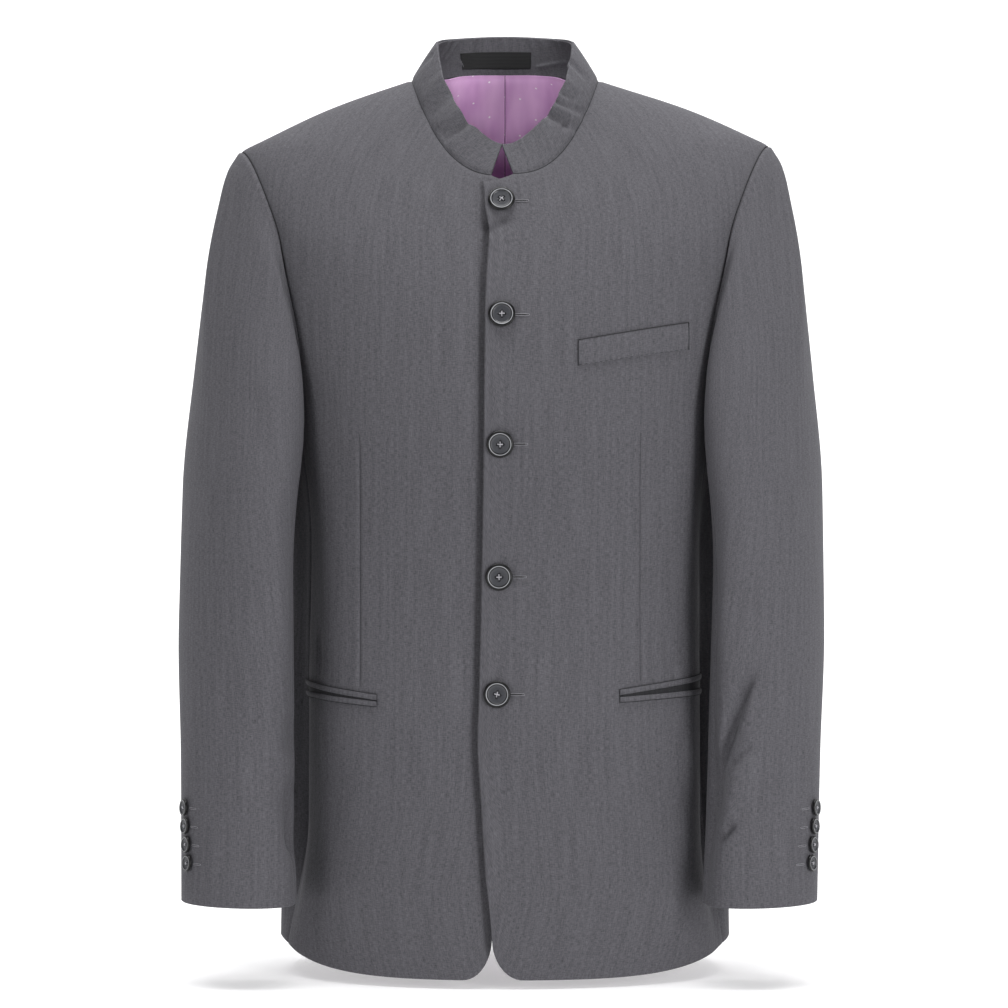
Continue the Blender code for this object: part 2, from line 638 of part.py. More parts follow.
def add_pockets(collection, material):
    """Chest welt on the wearer's left and two jets at each hip pocket."""
    add_strip("chest_welt", CHEST_WELT, 1, 0.0, collection, material)
    for side, word in ((1, "left"), (-1, "right")):
        add_strip("jet_upper_" + word, UPPER_JET, side, POCKET_CENTRE_X, collection, material)
        add_strip("jet_lower_" + word, LOWER_JET, side, POCKET_CENTRE_X, collection, material)


def button_mesh(name, diameter, height):
    """Profile of a round button with a raised rim and a dished middle, for a Screw modifier to turn."""
    mesh = bpy.data.meshes.new(name)
    points = [(turn.radius * diameter / 2, 0.0, turn.height * height) for turn in BUTTON_PROFILE]
    edges = [(place, place + 1) for place in range(len(points) - 1)]
    mesh.from_pydata(points, edges, [])
    return mesh


def add_button(name, mesh, steps, place, outward, collection, material):
    """One button seated on the cloth, facing outwards."""
    if not mesh.materials:
        mesh.materials.append(material)
    button = bpy.data.objects.new(name, mesh)
    collection.objects.link(button)
    screw = button.modifiers.new("turn", "SCREW")
    screw.steps = steps
    screw.render_steps = steps
    screw.use_merge_vertices = True
    screw.merge_threshold = BUTTON_MERGE
    screw.use_smooth_shade = True
    button.location = Vector(place) + Vector(outward) * BUTTON_LIFT
    button.rotation_mode = "QUATERNION"
    button.rotation_quaternion = Vector(outward).to_track_quat("Z", "Y")


def add_buttons(collection, material):
    """Five buttons on the left front's edge and four at each cuff."""
    front = button_mesh("front_button", FRONT_BUTTON_DIAMETER, FRONT_BUTTON_HEIGHT)
    for number, button in enumerate(FRONT_BUTTONS, start=1):
        angle, level = locate(np.array(button.x), np.array(button.z))
        place = body_point(angle, level)
        outward = normal_of(body_point, angle, level)
        name = f"button_front_{number}"
        add_button(name, front, FRONT_BUTTON_STEPS, place, outward, collection, material)
    cuff = button_mesh("cuff_button", CUFF_BUTTON_DIAMETER, CUFF_BUTTON_HEIGHT)
    for side, word in ((1, "left"), (-1, "right")):
        for number in range(CUFF_BUTTON_COUNT):
            around = CUFF_BUTTON_AROUND + CUFF_BUTTON_TURN * number
            height = CUFF_BUTTON_TOP_Z - CUFF_BUTTON_PITCH * number
            place, outward = on_sleeve(around, height, side)
            name = f"button_cuff_{word}_{number + 1}"
            add_button(name, cuff, CUFF_BUTTON_STEPS, place, outward, collection, material)


def on_sleeve(around, height, side):
    """Point and outward normal of a sleeve at a turn round it and a height."""
    runs = np.linspace(LOWER_SLEEVE, 1.0, LOWER_SLEEVE_SAMPLES)
    heights = sleeve_point(around, runs, side)[:, 2]
    run = np.interp(-height, -heights, runs)

    def surface(turn, place):
        return sleeve_point(turn, place, side)

    return surface(around, run), side * normal_of(surface, around, run)


def add_material(name, colour, roughness):
    """Cloth or plastic finish of one colour."""
    material = bpy.data.materials.new(name)
    material.use_nodes = True
    shader = material.node_tree.nodes["Principled BSDF"]
    shader.inputs["Base Color"].default_value = (*colour, 1.0)
    shader.inputs["Roughness"].default_value = roughness
    shader.inputs["Metallic"].default_value = 0.0
    return material


def main():
    """Clear the scene and build the jacket."""
    for old in list(bpy.data.objects):
        bpy.data.objects.remove(old, do_unlink=True)
    jacket = bpy.data.collections.new("suit_jacket")
    bpy.context.scene.collection.children.link(jacket)
    suiting = add_material("suiting", (0.122, 0.120, 0.133), 0.85)
    facing = add_material("collar_facing", (0.085, 0.083, 0.092), 0.85)
    lining = add_material("lining_satin", (0.36, 0.19, 0.36), 0.40)
    label = add_material("label_ribbon", (0.020, 0.020, 0.022), 0.60)
    horn = add_material("button_horn", (0.045, 0.046, 0.050), 0.35)
    tubes = {side: sleeve_tube(side) for side in (1, -1)}
    sleeve_normals = {side: tubes[side][1][0] for side in tubes}
    add_fronts(sleeve_normals, jacket, suiting)
    add_sides(sleeve_normals, jacket, suiting)
    add_backs(sleeve_normals, jacket, suiting, lining)
    add_sleeves(tubes, jacket, suiting)
    add_collar(jacket, suiting, facing)
    add_label(jacket, label)
    add_pockets(jacket, suiting)
    add_buttons(jacket, horn)


main()
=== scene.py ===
# %% [markdown]
# # A grey suit jacket with a band collar
# The jacket stands as if somebody wore it: an empty tube of cloth with two sleeves, a low collar, five
# buttons and a lilac lining that shows at the neck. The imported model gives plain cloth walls. This lesson
# lays a finer cloth shell on each of them, with seams, darts, creases, stitching and a woven finish.

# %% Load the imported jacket
import json
import math
from collections import namedtuple

import bpy
import numpy as np
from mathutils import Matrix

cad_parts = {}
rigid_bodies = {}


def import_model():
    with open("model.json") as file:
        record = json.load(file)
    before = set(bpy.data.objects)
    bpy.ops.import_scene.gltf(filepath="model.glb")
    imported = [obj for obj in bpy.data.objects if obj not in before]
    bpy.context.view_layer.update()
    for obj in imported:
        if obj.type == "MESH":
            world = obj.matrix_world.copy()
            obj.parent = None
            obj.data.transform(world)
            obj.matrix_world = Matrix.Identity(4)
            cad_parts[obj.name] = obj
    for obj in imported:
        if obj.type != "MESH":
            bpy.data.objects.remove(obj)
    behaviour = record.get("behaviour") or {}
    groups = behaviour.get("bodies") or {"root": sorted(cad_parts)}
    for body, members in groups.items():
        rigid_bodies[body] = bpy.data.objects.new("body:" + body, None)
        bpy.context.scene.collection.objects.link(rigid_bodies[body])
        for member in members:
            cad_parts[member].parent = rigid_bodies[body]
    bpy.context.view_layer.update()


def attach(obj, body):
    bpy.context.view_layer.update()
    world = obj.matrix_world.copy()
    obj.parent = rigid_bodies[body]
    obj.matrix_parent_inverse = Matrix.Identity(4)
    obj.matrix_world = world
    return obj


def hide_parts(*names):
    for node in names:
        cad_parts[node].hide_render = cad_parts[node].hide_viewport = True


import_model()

# %% [markdown]
# ## The jacket's sizes
# A tailor describes a body by girths at a few heights. Each row below is one such ring, from the hem up to
# the neck seam: half its width, its depth to the front and back, and the heights of its sides, front and
# back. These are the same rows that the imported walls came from, so the fine cloth lies exactly on them.

# %% Rings of the body, the collar and the sleeves
SIDE_LINE_Y = 0.010
Ring = namedtuple("Ring", "level half_width front back side_z front_z back_z square swing")
BODY = (
    Ring(0.00, 0.191, 0.128, 0.112, -0.727, -0.748, -0.727, 2.15, 5.0),  # hem
    Ring(0.24, 0.189, 0.130, 0.115, -0.560, -0.562, -0.560, 2.20, 3.0),  # hip
    Ring(0.42, 0.183, 0.122, 0.098, -0.430, -0.430, -0.430, 2.20, 2.0),  # waist
    Ring(0.60, 0.184, 0.133, 0.117, -0.293, -0.295, -0.290, 2.25, 2.0),  # under the arms
    Ring(0.75, 0.202, 0.124, 0.118, -0.180, -0.212, -0.182, 2.15, 2.0),  # shoulder blades
    Ring(0.88, 0.225, 0.105, 0.097, -0.059, -0.146, -0.085, 2.05, 2.0),  # shoulder points
    Ring(0.94, 0.152, 0.091, 0.078, -0.0255, -0.117, -0.032, 2.00, 2.4),  # halfway up the shoulders
    Ring(1.00, 0.080, 0.078, 0.056, -0.001, -0.088, 0.012, 2.00, 2.9),   # neck seam
)
SHOULDER_ROUND = 0.10
SHOULDER_START = 0.60
SHOULDER_SAMPLES = 15
SHOULDER_ROW = 5
WAIST_ROW = 2
SHOULDER_LEAN = 0.0110
COLLAR_TOP = Ring(2.00, 0.0585, 0.063, 0.052, 0.0365, -0.0625, 0.0440, 2.9, 2.35)

Cuff = namedtuple("Cuff", "run outer_x outer_z inner_x inner_z mid_y half_depth toe")
SLEEVE = (
    Cuff(0.00, 0.2230, -0.061, 0.1800, -0.287, 0.006, 0.0640, 0.000),
    Cuff(0.03, 0.2363, -0.077, 0.1840, -0.292, 0.004, 0.0680, 0.010),
    Cuff(0.09, 0.2499, -0.108, 0.1800, -0.308, -0.002, 0.0730, 0.022),
    Cuff(0.18, 0.2643, -0.165, 0.1755, -0.334, -0.010, 0.0750, 0.030),
    Cuff(0.30, 0.2702, -0.245, 0.1740, -0.372, -0.022, 0.0722, 0.032),
    Cuff(0.45, 0.2717, -0.345, 0.1720, -0.430, -0.038, 0.0662, 0.029),
    Cuff(0.62, 0.2713, -0.460, 0.1700, -0.500, -0.054, 0.0586, 0.024),
    Cuff(0.80, 0.2662, -0.570, 0.1680, -0.590, -0.069, 0.0500, 0.017),
    Cuff(1.00, 0.2624, -0.688, 0.1655, -0.689, -0.084, 0.0435, 0.010),
)
SLEEVE_SWAY = -0.0047
SLEEVE_LENGTH = 0.63
ARMHOLE_FADE = 0.45
FRONT_SLEEVE_SEAM = math.radians(165)
BACK_SLEEVE_SEAM = math.radians(-12)

Fold = namedtuple("Fold", "side around run slant half_length half_width depth")
FOLDS = (
    Fold(1, 126, 0.800, 62, 0.052, 0.013, 0.0050),
    Fold(1, 104, 0.835, 58, 0.050, 0.016, -0.0030),
    Fold(1, 120, 0.880, 40, 0.030, 0.012, 0.0025),
    Fold(-1, 140, 0.860, 60, 0.045, 0.014, 0.0040),
    Fold(-1, 215, 0.560, 75, 0.060, 0.018, 0.0040),
    Fold(1, 215, 0.540, 70, 0.060, 0.018, 0.0040),
)

ARMHOLE_TOP = 0.880
ARMHOLE_FOOT = 0.605
ARMHOLE_REACH = math.radians(29)
ARMHOLE_SLANT = 1.4
ARMHOLE_ROUND = 0.45
FRONT_SEAM_HEM = math.radians(74)
BACK_SEAM_HEM = math.radians(118)
FRONT_SEAM_ARM = math.radians(142)
BACK_SEAM_ARM = math.radians(218)

CLOTH = 0.0020
COLLAR_CLOTH = 0.0015
FACING_CLOTH = 0.0012
LINING_CLOTH = 0.0010
LABEL_CLOTH = 0.0006
TRIM_CLOTH = 0.0014
TRIM_LIFT = 0.0005
BUTTON_LIFT = 0.0006
SEAM = 0.0003
CLOSED_SEAM = 0.00004
print("rings of the body:", len(BODY), "rings of a sleeve:", len(SLEEVE))

# %% [markdown]
# ## Smooth curves through the rows
# Between two rows the cloth follows a cubic curve. Its slope at a row is the harmonic mean of the slopes on
# both sides, so a curve never swings past its rows. One could also use Blender's own splines, but a numpy
# function works on a whole grid of points at once.

# %% Curves and vectors
def unit(vectors):
    """Vectors divided by their own lengths."""
    return vectors / np.linalg.norm(vectors, axis=-1, keepdims=True)


def ease(share):
    """3 s squared minus 2 s cubed: a rise from 0 to 1 that starts and ends level."""
    share = np.clip(share, 0.0, 1.0)
    return share * share * (3.0 - 2.0 * share)


def part_way(start, end, share):
    """Start plus a share of the way to the end."""
    return start + (end - start) * share


def read_rows(table, place):
    """Cubics through all columns of a table, with harmonic-mean slopes, read along its first column."""
    rows = np.array(table)
    knots = rows[:, 0]
    steep = np.diff(rows, axis=0) / np.diff(knots)[:, None]
    before, after = steep[:-1], steep[1:]
    same_way = before * after > 0
    total = np.where(same_way, before + after, 1.0)
    middle = np.where(same_way, 2.0 * before * after / total, 0.0)
    slopes = np.concatenate([steep[:1], middle, steep[-1:]])
    place = np.asarray(place, dtype=float)
    first = np.clip(np.searchsorted(knots, place) - 1, 0, len(knots) - 2)
    span = (knots[first + 1] - knots[first])[..., None]
    share = (place - knots[first])[..., None] / span
    start = rows[first] * (2 * share**3 - 3 * share**2 + 1)
    end = rows[first + 1] * (3 * share**2 - 2 * share**3)
    start_slope = slopes[first] * span * (share**3 - 2 * share**2 + share)
    end_slope = slopes[first + 1] * span * (share**3 - share**2)
    return start + end + start_slope + end_slope


def between(table, name, place):
    """One column of a table, read along its first column."""
    return read_rows(table, place)[..., table[0]._fields.index(name)]


STEP = 1e-4
UP = np.array([0.0, 0.0, 1.0])


def normal_of(surface, first, second):
    """Unit cross product of the surface's two slopes, each taken over a short step."""
    along = surface(first + STEP, second) - surface(first - STEP, second)
    across = surface(first, second + STEP) - surface(first, second - STEP)
    return unit(np.cross(along, across))


print("waist half width:", float(between(BODY, "half_width", BODY[WAIST_ROW].level)))

# %% [markdown]
# ## The surfaces of the body, the collar and the sleeves
# The body is a stack of rounded rings, each a little squarer than an ellipse. The shoulder is a firm ridge
# at the side and rounds off towards the middle, which comes from averaging neighbouring rings there. The
# sleeve is a bent tube whose rings toe in at the front, as an arm hangs, and which starts on the armhole.

# %% Body, collar and armhole
def ring_point(angle, ring):
    """Superellipse: x = a sin, y = -b cos, both times a squaring bulge; height swings from the side."""
    cosine = np.cos(angle)
    sine = np.sin(angle)
    bulge = (np.abs(cosine)**ring.square + np.abs(sine)**ring.square)**(-1.0 / ring.square)
    forward = cosine > 0
    depth = np.where(forward, ring.front, ring.back)
    rise = np.where(forward, ring.front_z, ring.back_z) - ring.side_z
    x = ring.half_width * sine * bulge
    y = SIDE_LINE_Y - depth * cosine * bulge
    z = ring.side_z + rise * (1.0 - np.abs(sine)**ring.swing)
    return np.stack(np.broadcast_arrays(x, y, z), axis=-1)


def body_point(angle, level):
    """Ring read at a level and averaged over nearby levels near the shoulder, then leaned to one side."""
    angle, level = np.broadcast_arrays(np.asarray(angle, dtype=float), np.asarray(level, dtype=float))
    fade = ease((1.0 - level) / SHOULDER_ROUND) * ease((level - SHOULDER_START) / SHOULDER_ROUND)
    spread = SHOULDER_ROUND * fade * np.abs(np.cos(angle))
    steps = np.linspace(-1.0, 1.0, SHOULDER_SAMPLES).reshape((-1,) + (1,) * level.ndim)
    place = level + spread * steps
    upper = read_rows(BODY[SHOULDER_ROW:], place)
    lower = read_rows(BODY[:SHOULDER_ROW + 1], place)
    rows = np.where((place > ARMHOLE_TOP)[..., None], upper, lower)
    points = ring_point(angle, Ring(*np.moveaxis(rows.mean(axis=0), -1, 0)))
    points[..., 2] += SHOULDER_LEAN * fade * points[..., 0]
    return points


def on_body(angle, level):
    """Points of the body at an angle and level, and their unit normals."""
    return body_point(angle, level), normal_of(body_point, angle, level)


def collar_point(angle, height):
    """Straight line from the neck seam's ring at height 0 to the collar's top ring at height 1."""
    height = np.asarray(height, dtype=float)
    columns = [part_way(low, high, height) for low, high in zip(BODY[-1], COLLAR_TOP)]
    return ring_point(angle, Ring(*columns))


def armhole(around):
    """Angle and level of the armhole: a rounded box, 0 at the shoulder point and 90 degrees in front."""
    sine = np.sin(around)
    upper = np.sin(np.minimum(ARMHOLE_SLANT * np.arccos(np.cos(around)), math.pi / 2))
    share = np.where(np.cos(around) > 0, upper, np.abs(sine)**ARMHOLE_ROUND)
    angle = math.pi / 2 - ARMHOLE_REACH * np.sign(sine) * share
    level = (ARMHOLE_TOP + ARMHOLE_FOOT) / 2 + (ARMHOLE_TOP - ARMHOLE_FOOT) / 2 * np.cos(around)
    return angle, level


NEWTON_ROUNDS = 20


def locate(x, z):
    """Newton's method for the angle and level of the front's points seen at x and z."""
    angle = np.asarray(x, dtype=float) / BODY[WAIST_ROW].half_width
    level = 1.0 + np.asarray(z, dtype=float) / -BODY[0].side_z
    for _ in range(NEWTON_ROUNDS):
        here = body_point(angle, level)
        by_angle = (body_point(angle + STEP, level) - here) / STEP
        by_level = (body_point(angle, level + STEP) - here) / STEP
        off_x = x - here[..., 0]
        off_z = z - here[..., 2]
        scale = by_angle[..., 0] * by_level[..., 2] - by_level[..., 0] * by_angle[..., 2]
        angle = angle + (off_x * by_level[..., 2] - off_z * by_level[..., 0]) / scale
        level = level + (off_z * by_angle[..., 0] - off_x * by_angle[..., 2]) / scale
    return angle, level


print("shoulder point:", body_point(math.pi / 2, ARMHOLE_TOP).round(4))

# %% Sleeves
# The armhole is counted in steps. The sleeve's two seams start a few steps away from the body's seams.
SEAM_STEPS_ARM = 8
SEAM_STEPS_FOOT = 5
FRONT_SEAM_SHIFT = -1
BACK_SEAM_SHIFT = 4
FRONT_SEAM_PLACE = SEAM_STEPS_ARM + FRONT_SEAM_SHIFT
BACK_SEAM_PLACE = SEAM_STEPS_ARM + SEAM_STEPS_FOOT + BACK_SEAM_SHIFT
ARM_TURNS = np.concatenate([
    np.linspace(0.0, FRONT_SEAM_ARM, SEAM_STEPS_ARM + 1),
    np.linspace(FRONT_SEAM_ARM, BACK_SEAM_ARM, SEAM_STEPS_FOOT + 1)[1:],
    np.linspace(BACK_SEAM_ARM, 2 * math.pi, SEAM_STEPS_ARM + 1)[1:],
])
ARM_PLACES = len(ARM_TURNS) - 1


def arm_turn(place):
    """Turn round the armhole of a place counted in steps, which starts again after a full round."""
    return np.interp(np.mod(place, ARM_PLACES), np.arange(ARM_PLACES + 1), ARM_TURNS)


def arm_place(turn):
    """Place round the armhole, counted in steps, of a turn."""
    return np.interp(turn, ARM_TURNS, np.arange(ARM_PLACES + 1))


def fold_depth(around, run, side):
    """Sum of long soft troughs: depth times a flat-topped bell along the fold and a bell across it."""
    depth = np.zeros(np.broadcast(around, run).shape)
    for fold in FOLDS:
        if fold.side != side:
            continue
        radius = between(SLEEVE, "half_depth", fold.run)
        turn = np.mod(around - math.radians(fold.around) + math.pi, 2 * math.pi) - math.pi
        level = turn * radius
        down = (run - fold.run) * SLEEVE_LENGTH
        slant = math.radians(fold.slant)
        length = level * math.cos(slant) + down * math.sin(slant)
        width = down * math.cos(slant) - level * math.sin(slant)
        bell = np.exp(-(length / fold.half_length)**4 - (width / fold.half_width)**2)
        depth = depth + fold.depth * bell
    return depth


def sleeve_point(around, run, side):
    """Oval ring between the outline's outer and inner edges, skewed so that its front toes in."""
    ring = Cuff(*np.moveaxis(read_rows(SLEEVE, run), -1, 0))
    outline = (ring.outer_x - ring.inner_x) / 2
    reach_x = np.sqrt(outline**2 - ring.toe**2)
    reach_z = (ring.outer_z - ring.inner_z) / 2
    shrink = 1.0 - fold_depth(around, run, side) / ring.half_depth
    cosine = np.cos(around) * shrink
    sine = np.sin(around) * shrink
    x = (ring.outer_x + ring.inner_x) / 2 + reach_x * cosine - ring.toe * sine
    x = side * x + SLEEVE_SWAY * ring.run
    y = ring.mid_y - ring.half_depth * sine
    z = (ring.outer_z + ring.inner_z) / 2 + reach_z * cosine
    return np.stack(np.broadcast_arrays(x, y, z), axis=-1)


def cuff_turn(place):
    """Turn at the cuff of a place counted round the armhole: the two seams slide round as they go down."""
    top_steps = ARM_PLACES - BACK_SEAM_PLACE + FRONT_SEAM_PLACE
    wrapped = np.mod(place, ARM_PLACES)
    on_top = (wrapped <= FRONT_SEAM_PLACE) | (wrapped >= BACK_SEAM_PLACE)
    top_share = np.mod(wrapped - BACK_SEAM_PLACE, ARM_PLACES) / top_steps
    under_share = (wrapped - FRONT_SEAM_PLACE) / (BACK_SEAM_PLACE - FRONT_SEAM_PLACE)
    top = part_way(BACK_SLEEVE_SEAM, FRONT_SLEEVE_SEAM, top_share)
    top = np.where(wrapped >= BACK_SEAM_PLACE, top + 2 * math.pi, top)
    under = part_way(FRONT_SLEEVE_SEAM, BACK_SLEEVE_SEAM + 2 * math.pi, under_share)
    return np.where(on_top, top, under)


def sleeve_surface(place, run, side):
    """Sleeve ring plus the armhole's difference from the first ring, which fades out down the arm."""
    place, run = np.broadcast_arrays(np.asarray(place, dtype=float), np.asarray(run, dtype=float))
    turn = arm_turn(place)
    around = part_way(turn, cuff_turn(place), ease(run))
    angle, level = armhole(turn)
    seam = body_point(side * angle, level)
    fade = (1.0 - ease(run / ARMHOLE_FADE))[..., None]
    first_ring = sleeve_point(turn, np.zeros_like(run), side)
    return sleeve_point(around, run, side) + fade * (seam - first_ring)


def sleeve_normal(place, run, side):
    """Unit normal of a sleeve, pointing away from the arm."""
    def surface(first, second):
        """Sleeve of this side alone."""
        return sleeve_surface(first, second, side)

    inside = np.clip(run, 2 * STEP, 1.0)
    return side * normal_of(surface, place, inside)


print("cuff, outer edge:", sleeve_surface(0.0, 1.0, 1).round(4))

# %% [markdown]
# ## Finishes
# The cloth is a plain-weave wool suiting of mixed light and dark yarn: short streaks along the warp and
# across it, and a soft bloom at grazing angles. The lining is a smooth satin with tiny white pin dots, and
# the buttons are moulded plastic with a pale ring of painted highlight. All patterns are procedural. The
# woven ones follow each piece's own UV map, which is measured in metres along and across the cloth's grain.

# %% A colour function and a node function
def linear(hex_colour, alpha=1.0):
    """sRGB hex to linear: c / 12.92 up to 0.04045, above it ((c + 0.055) / 1.055) to the power 2.4."""
    values = np.array([int(hex_colour[place:place + 2], 16) / 255 for place in (1, 3, 5)])
    bright = ((values + 0.055) / 1.055)**2.4
    return (*np.where(values <= 0.04045, values / 12.92, bright).tolist(), alpha)


def feed(tree, node, inputs):
    """Give each input a value, or link it to a socket or to another node's first output."""
    for name, given in inputs.items():
        if isinstance(given, bpy.types.Node):
            given = given.outputs[0]
        if isinstance(given, bpy.types.NodeSocket):
            tree.links.new(given, node.inputs[name])
        else:
            node.inputs[name].default_value = given


def add_node(tree, kind, inputs, **settings):
    """Add one shader node, set its properties and feed its inputs."""
    node = tree.nodes.new("ShaderNode" + kind)
    for name, setting in settings.items():
        setattr(node, name, setting)
    feed(tree, node, inputs)
    return node


def new_finish(name, inputs):
    """Material with one Principled shader whose inputs take the given values."""
    finish = bpy.data.materials.new(name)
    finish.use_nodes = True
    tree = finish.node_tree
    shader = tree.nodes["Principled BSDF"]
    feed(tree, shader, inputs)
    return finish, tree, shader


print("mid grey:", [round(value, 3) for value in linear("#646368")])

# %% Wool suiting, plain weave of mixed yarn
# Mixed yarn gives short streaks about a yarn wide. Real yarns are 0.3 mm apart, too fine to show here, so
# the streaks are drawn 0.6 mm wide. Slubs are longer, fainter streaks where the yarn runs thicker. Napped
# fibre ends give the pale bloom towards the edges.
Yarn = namedtuple("Yarn", "across along share")
WARP = Yarn(0.0006, 0.0045, 0.42)
WEFT = Yarn(0.0040, 0.0007, 0.40)
SLUB = Yarn(0.0032, 0.0700, 0.18)
YARN_LOW = 0.30
YARN_HIGH = 0.70


def wool(name, dark, light):
    """Suiting whose colour and bump come from a weighted sum of stretched noises: warp, weft and slubs."""
    finish, tree, shader = new_finish(name, {
        "Roughness": 0.88, "Metallic": 0.0, "Specular IOR Level": 0.25,
        "Sheen Weight": 0.05, "Sheen Roughness": 0.45, "Sheen Tint": linear("#d8d8dc")})
    place = add_node(tree, "UVMap", {}, uv_map="grain")
    sums = [0.0]
    for yarn in (WARP, WEFT, SLUB):
        scale = (1 / yarn.across, 1 / yarn.along, 1.0)
        scaled = add_node(tree, "Mapping", {"Vector": place, "Scale": scale})
        noise = add_node(tree, "TexNoise", {
            "Vector": scaled, "Scale": 1.0, "Detail": 2.0, "Roughness": 0.6}, noise_dimensions="2D")
        inputs = {0: noise, 1: yarn.share, 2: sums[-1]}
        sums.append(add_node(tree, "Math", inputs, operation="MULTIPLY_ADD"))
    weave, whole = sums[-2:]
    share = add_node(tree, "MapRange", {"Value": whole, "From Min": YARN_LOW, "From Max": YARN_HIGH})
    tones = {"Factor": share, "A": linear(dark), "B": linear(light)}
    colour = add_node(tree, "Mix", tones, data_type="RGBA")
    bump = add_node(tree, "Bump", {"Height": weave, "Strength": 0.35, "Distance": 0.0005})
    feed(tree, shader, {"Base Color": colour.outputs["Result"], "Normal": bump})
    return finish


suiting = wool("wool_suiting_woven", "#3b3a3e", "#626166")
# The facing's copy of the suiting is darker: painted shade for the shaded inside of the collar.
suiting_facing_painted_shade = wool("wool_suiting_facing_painted_shade", "#3a393d", "#5b5a5f")
# Nearly black suiting for the sheets in the hip pockets' mouths: painted shade.
pocket_mouth_painted_shade = wool("wool_pocket_mouth_painted_shade", "#1c1c1e", "#303033")
print("made", suiting.name)

# %% Satin lining with pin dots
# Satin floats its warp over many wefts, so the face is smooth and shines along one direction. The pin dots
# are woven in, 28 mm apart across and 17 mm between rows, every second row shifted by half.
DOT_ACROSS = 0.028
DOT_BETWEEN_ROWS = 0.017
DOT_RADIUS = 0.00085
DOT_OUTER = 1.25
DOT_INNER = 0.75
CLOUDS_PER_METRE = (55.0, 18.0, 1.0)


def satin(name, dark, light, dot):
    """Lilac satin: cloudy noise between two tones, with a dot close to each point of a lattice."""
    finish, tree, shader = new_finish(name, {
        "Roughness": 0.42, "Metallic": 0.0, "Anisotropic": 0.35,
        "Sheen Weight": 0.10, "Sheen Roughness": 0.35})
    place = add_node(tree, "UVMap", {}, uv_map="grain")
    parts = add_node(tree, "SeparateXYZ", {"Vector": place}).outputs
    row = add_node(tree, "Math", {0: parts["Y"], 1: DOT_BETWEEN_ROWS}, operation="DIVIDE")
    row_number = add_node(tree, "Math", {0: row}, operation="FLOOR")
    shift = add_node(tree, "Math", {0: row_number, 1: 0.5}, operation="MULTIPLY")
    column = add_node(tree, "Math", {0: parts["X"], 1: 1 / DOT_ACROSS, 2: shift}, operation="MULTIPLY_ADD")
    squares = 0.0
    for lattice, size in ((column, DOT_ACROSS), (row, DOT_BETWEEN_ROWS)):
        share = add_node(tree, "Math", {0: lattice}, operation="FRACT")
        middle = add_node(tree, "Math", {0: share, 1: 0.5}, operation="SUBTRACT")
        offset = add_node(tree, "Math", {0: middle, 1: size}, operation="MULTIPLY")
        squares = add_node(tree, "Math", {0: offset, 1: offset, 2: squares}, operation="MULTIPLY_ADD")
    away = add_node(tree, "Math", {0: squares}, operation="SQRT")
    dots = add_node(tree, "MapRange", {
        "Value": away, "From Min": DOT_RADIUS * DOT_OUTER, "From Max": DOT_RADIUS * DOT_INNER})
    scaled = add_node(tree, "Mapping", {"Vector": place, "Scale": CLOUDS_PER_METRE})
    cloud = add_node(tree, "TexNoise", {"Vector": scaled, "Scale": 1.0, "Detail": 2.0},
                     noise_dimensions="2D")
    tones = {"Factor": cloud, "A": linear(dark), "B": linear(light)}
    cloth = add_node(tree, "Mix", tones, data_type="RGBA")
    tones = {"Factor": dots, "A": cloth.outputs["Result"], "B": linear(dot)}
    dotted = add_node(tree, "Mix", tones, data_type="RGBA")
    bump = add_node(tree, "Bump", {"Height": cloud, "Strength": 0.25, "Distance": 0.002})
    feed(tree, shader, {"Base Color": dotted.outputs["Result"], "Normal": bump})
    return finish


lining_satin = satin("lining_satin_pin_dot", "#c88fca", "#f2c6ef", "#fffaff")
print("made", lining_satin.name)

# %% Ribbon, button plastic and sewing thread
# The label is a plain taffeta ribbon with fine ribs. Button plastic is moulded in dark tones and polished,
# and its pale ring is a painted highlight. Sewing thread is twisted polyester: dull, lighter than the cloth
# on buttons. The dark and violet tubes in seams are painted seam shade.
RIB_PITCH = 0.0012
THREAD_GRAIN = (2500.0, 2500.0, 2500.0)
Band = namedtuple("Band", "radius colour")
BUTTON_BANDS = (
    Band(0.00, "#333438"),
    Band(0.66, "#3f4044"),
    Band(0.70, "#161617"),
    Band(0.75, "#161617"),
    # The pale ring is a painted highlight on the rim's bevel.
    Band(0.775, "#96979b"),
    Band(0.805, "#96979b"),
    Band(0.83, "#070708"),
    Band(1.00, "#070708"),
)


def ribbon(name, colour, raised):
    """Taffeta ribbon: ribs across it from a sine wave of its UV height."""
    finish, tree, shader = new_finish(name, {"Roughness": 0.65, "Specular IOR Level": 0.25})
    place = add_node(tree, "UVMap", {}, uv_map="grain")
    parts = add_node(tree, "SeparateXYZ", {"Vector": place}).outputs
    phase = add_node(tree, "Math", {0: parts["Y"], 1: 2 * math.pi / RIB_PITCH}, operation="MULTIPLY")
    rib = add_node(tree, "Math", {0: phase}, operation="SINE")
    share = add_node(tree, "MapRange", {"Value": rib, "From Min": -1.0})
    tones = {"Factor": share, "A": linear(colour), "B": linear(raised)}
    tone = add_node(tree, "Mix", tones, data_type="RGBA")
    bump = add_node(tree, "Bump", {"Height": rib, "Strength": 0.3, "Distance": 0.0002})
    feed(tree, shader, {"Base Color": tone.outputs["Result"], "Normal": bump})
    return finish


def twisted(name, dark, light, roughness):
    """Thread whose colour runs between two tones with a fine noise on Object coordinates."""
    finish, tree, shader = new_finish(name, {"Roughness": roughness})
    place = add_node(tree, "TexCoord", {}).outputs["Object"]
    scaled = add_node(tree, "Mapping", {"Vector": place, "Scale": THREAD_GRAIN})
    noise = add_node(tree, "TexNoise", {"Vector": scaled, "Scale": 1.0, "Detail": 3.0, "Distortion": 0.6})
    tones = {"Factor": noise, "A": linear(dark), "B": linear(light)}
    tone = add_node(tree, "Mix", tones, data_type="RGBA")
    feed(tree, shader, {"Base Color": tone.outputs["Result"]})
    return finish


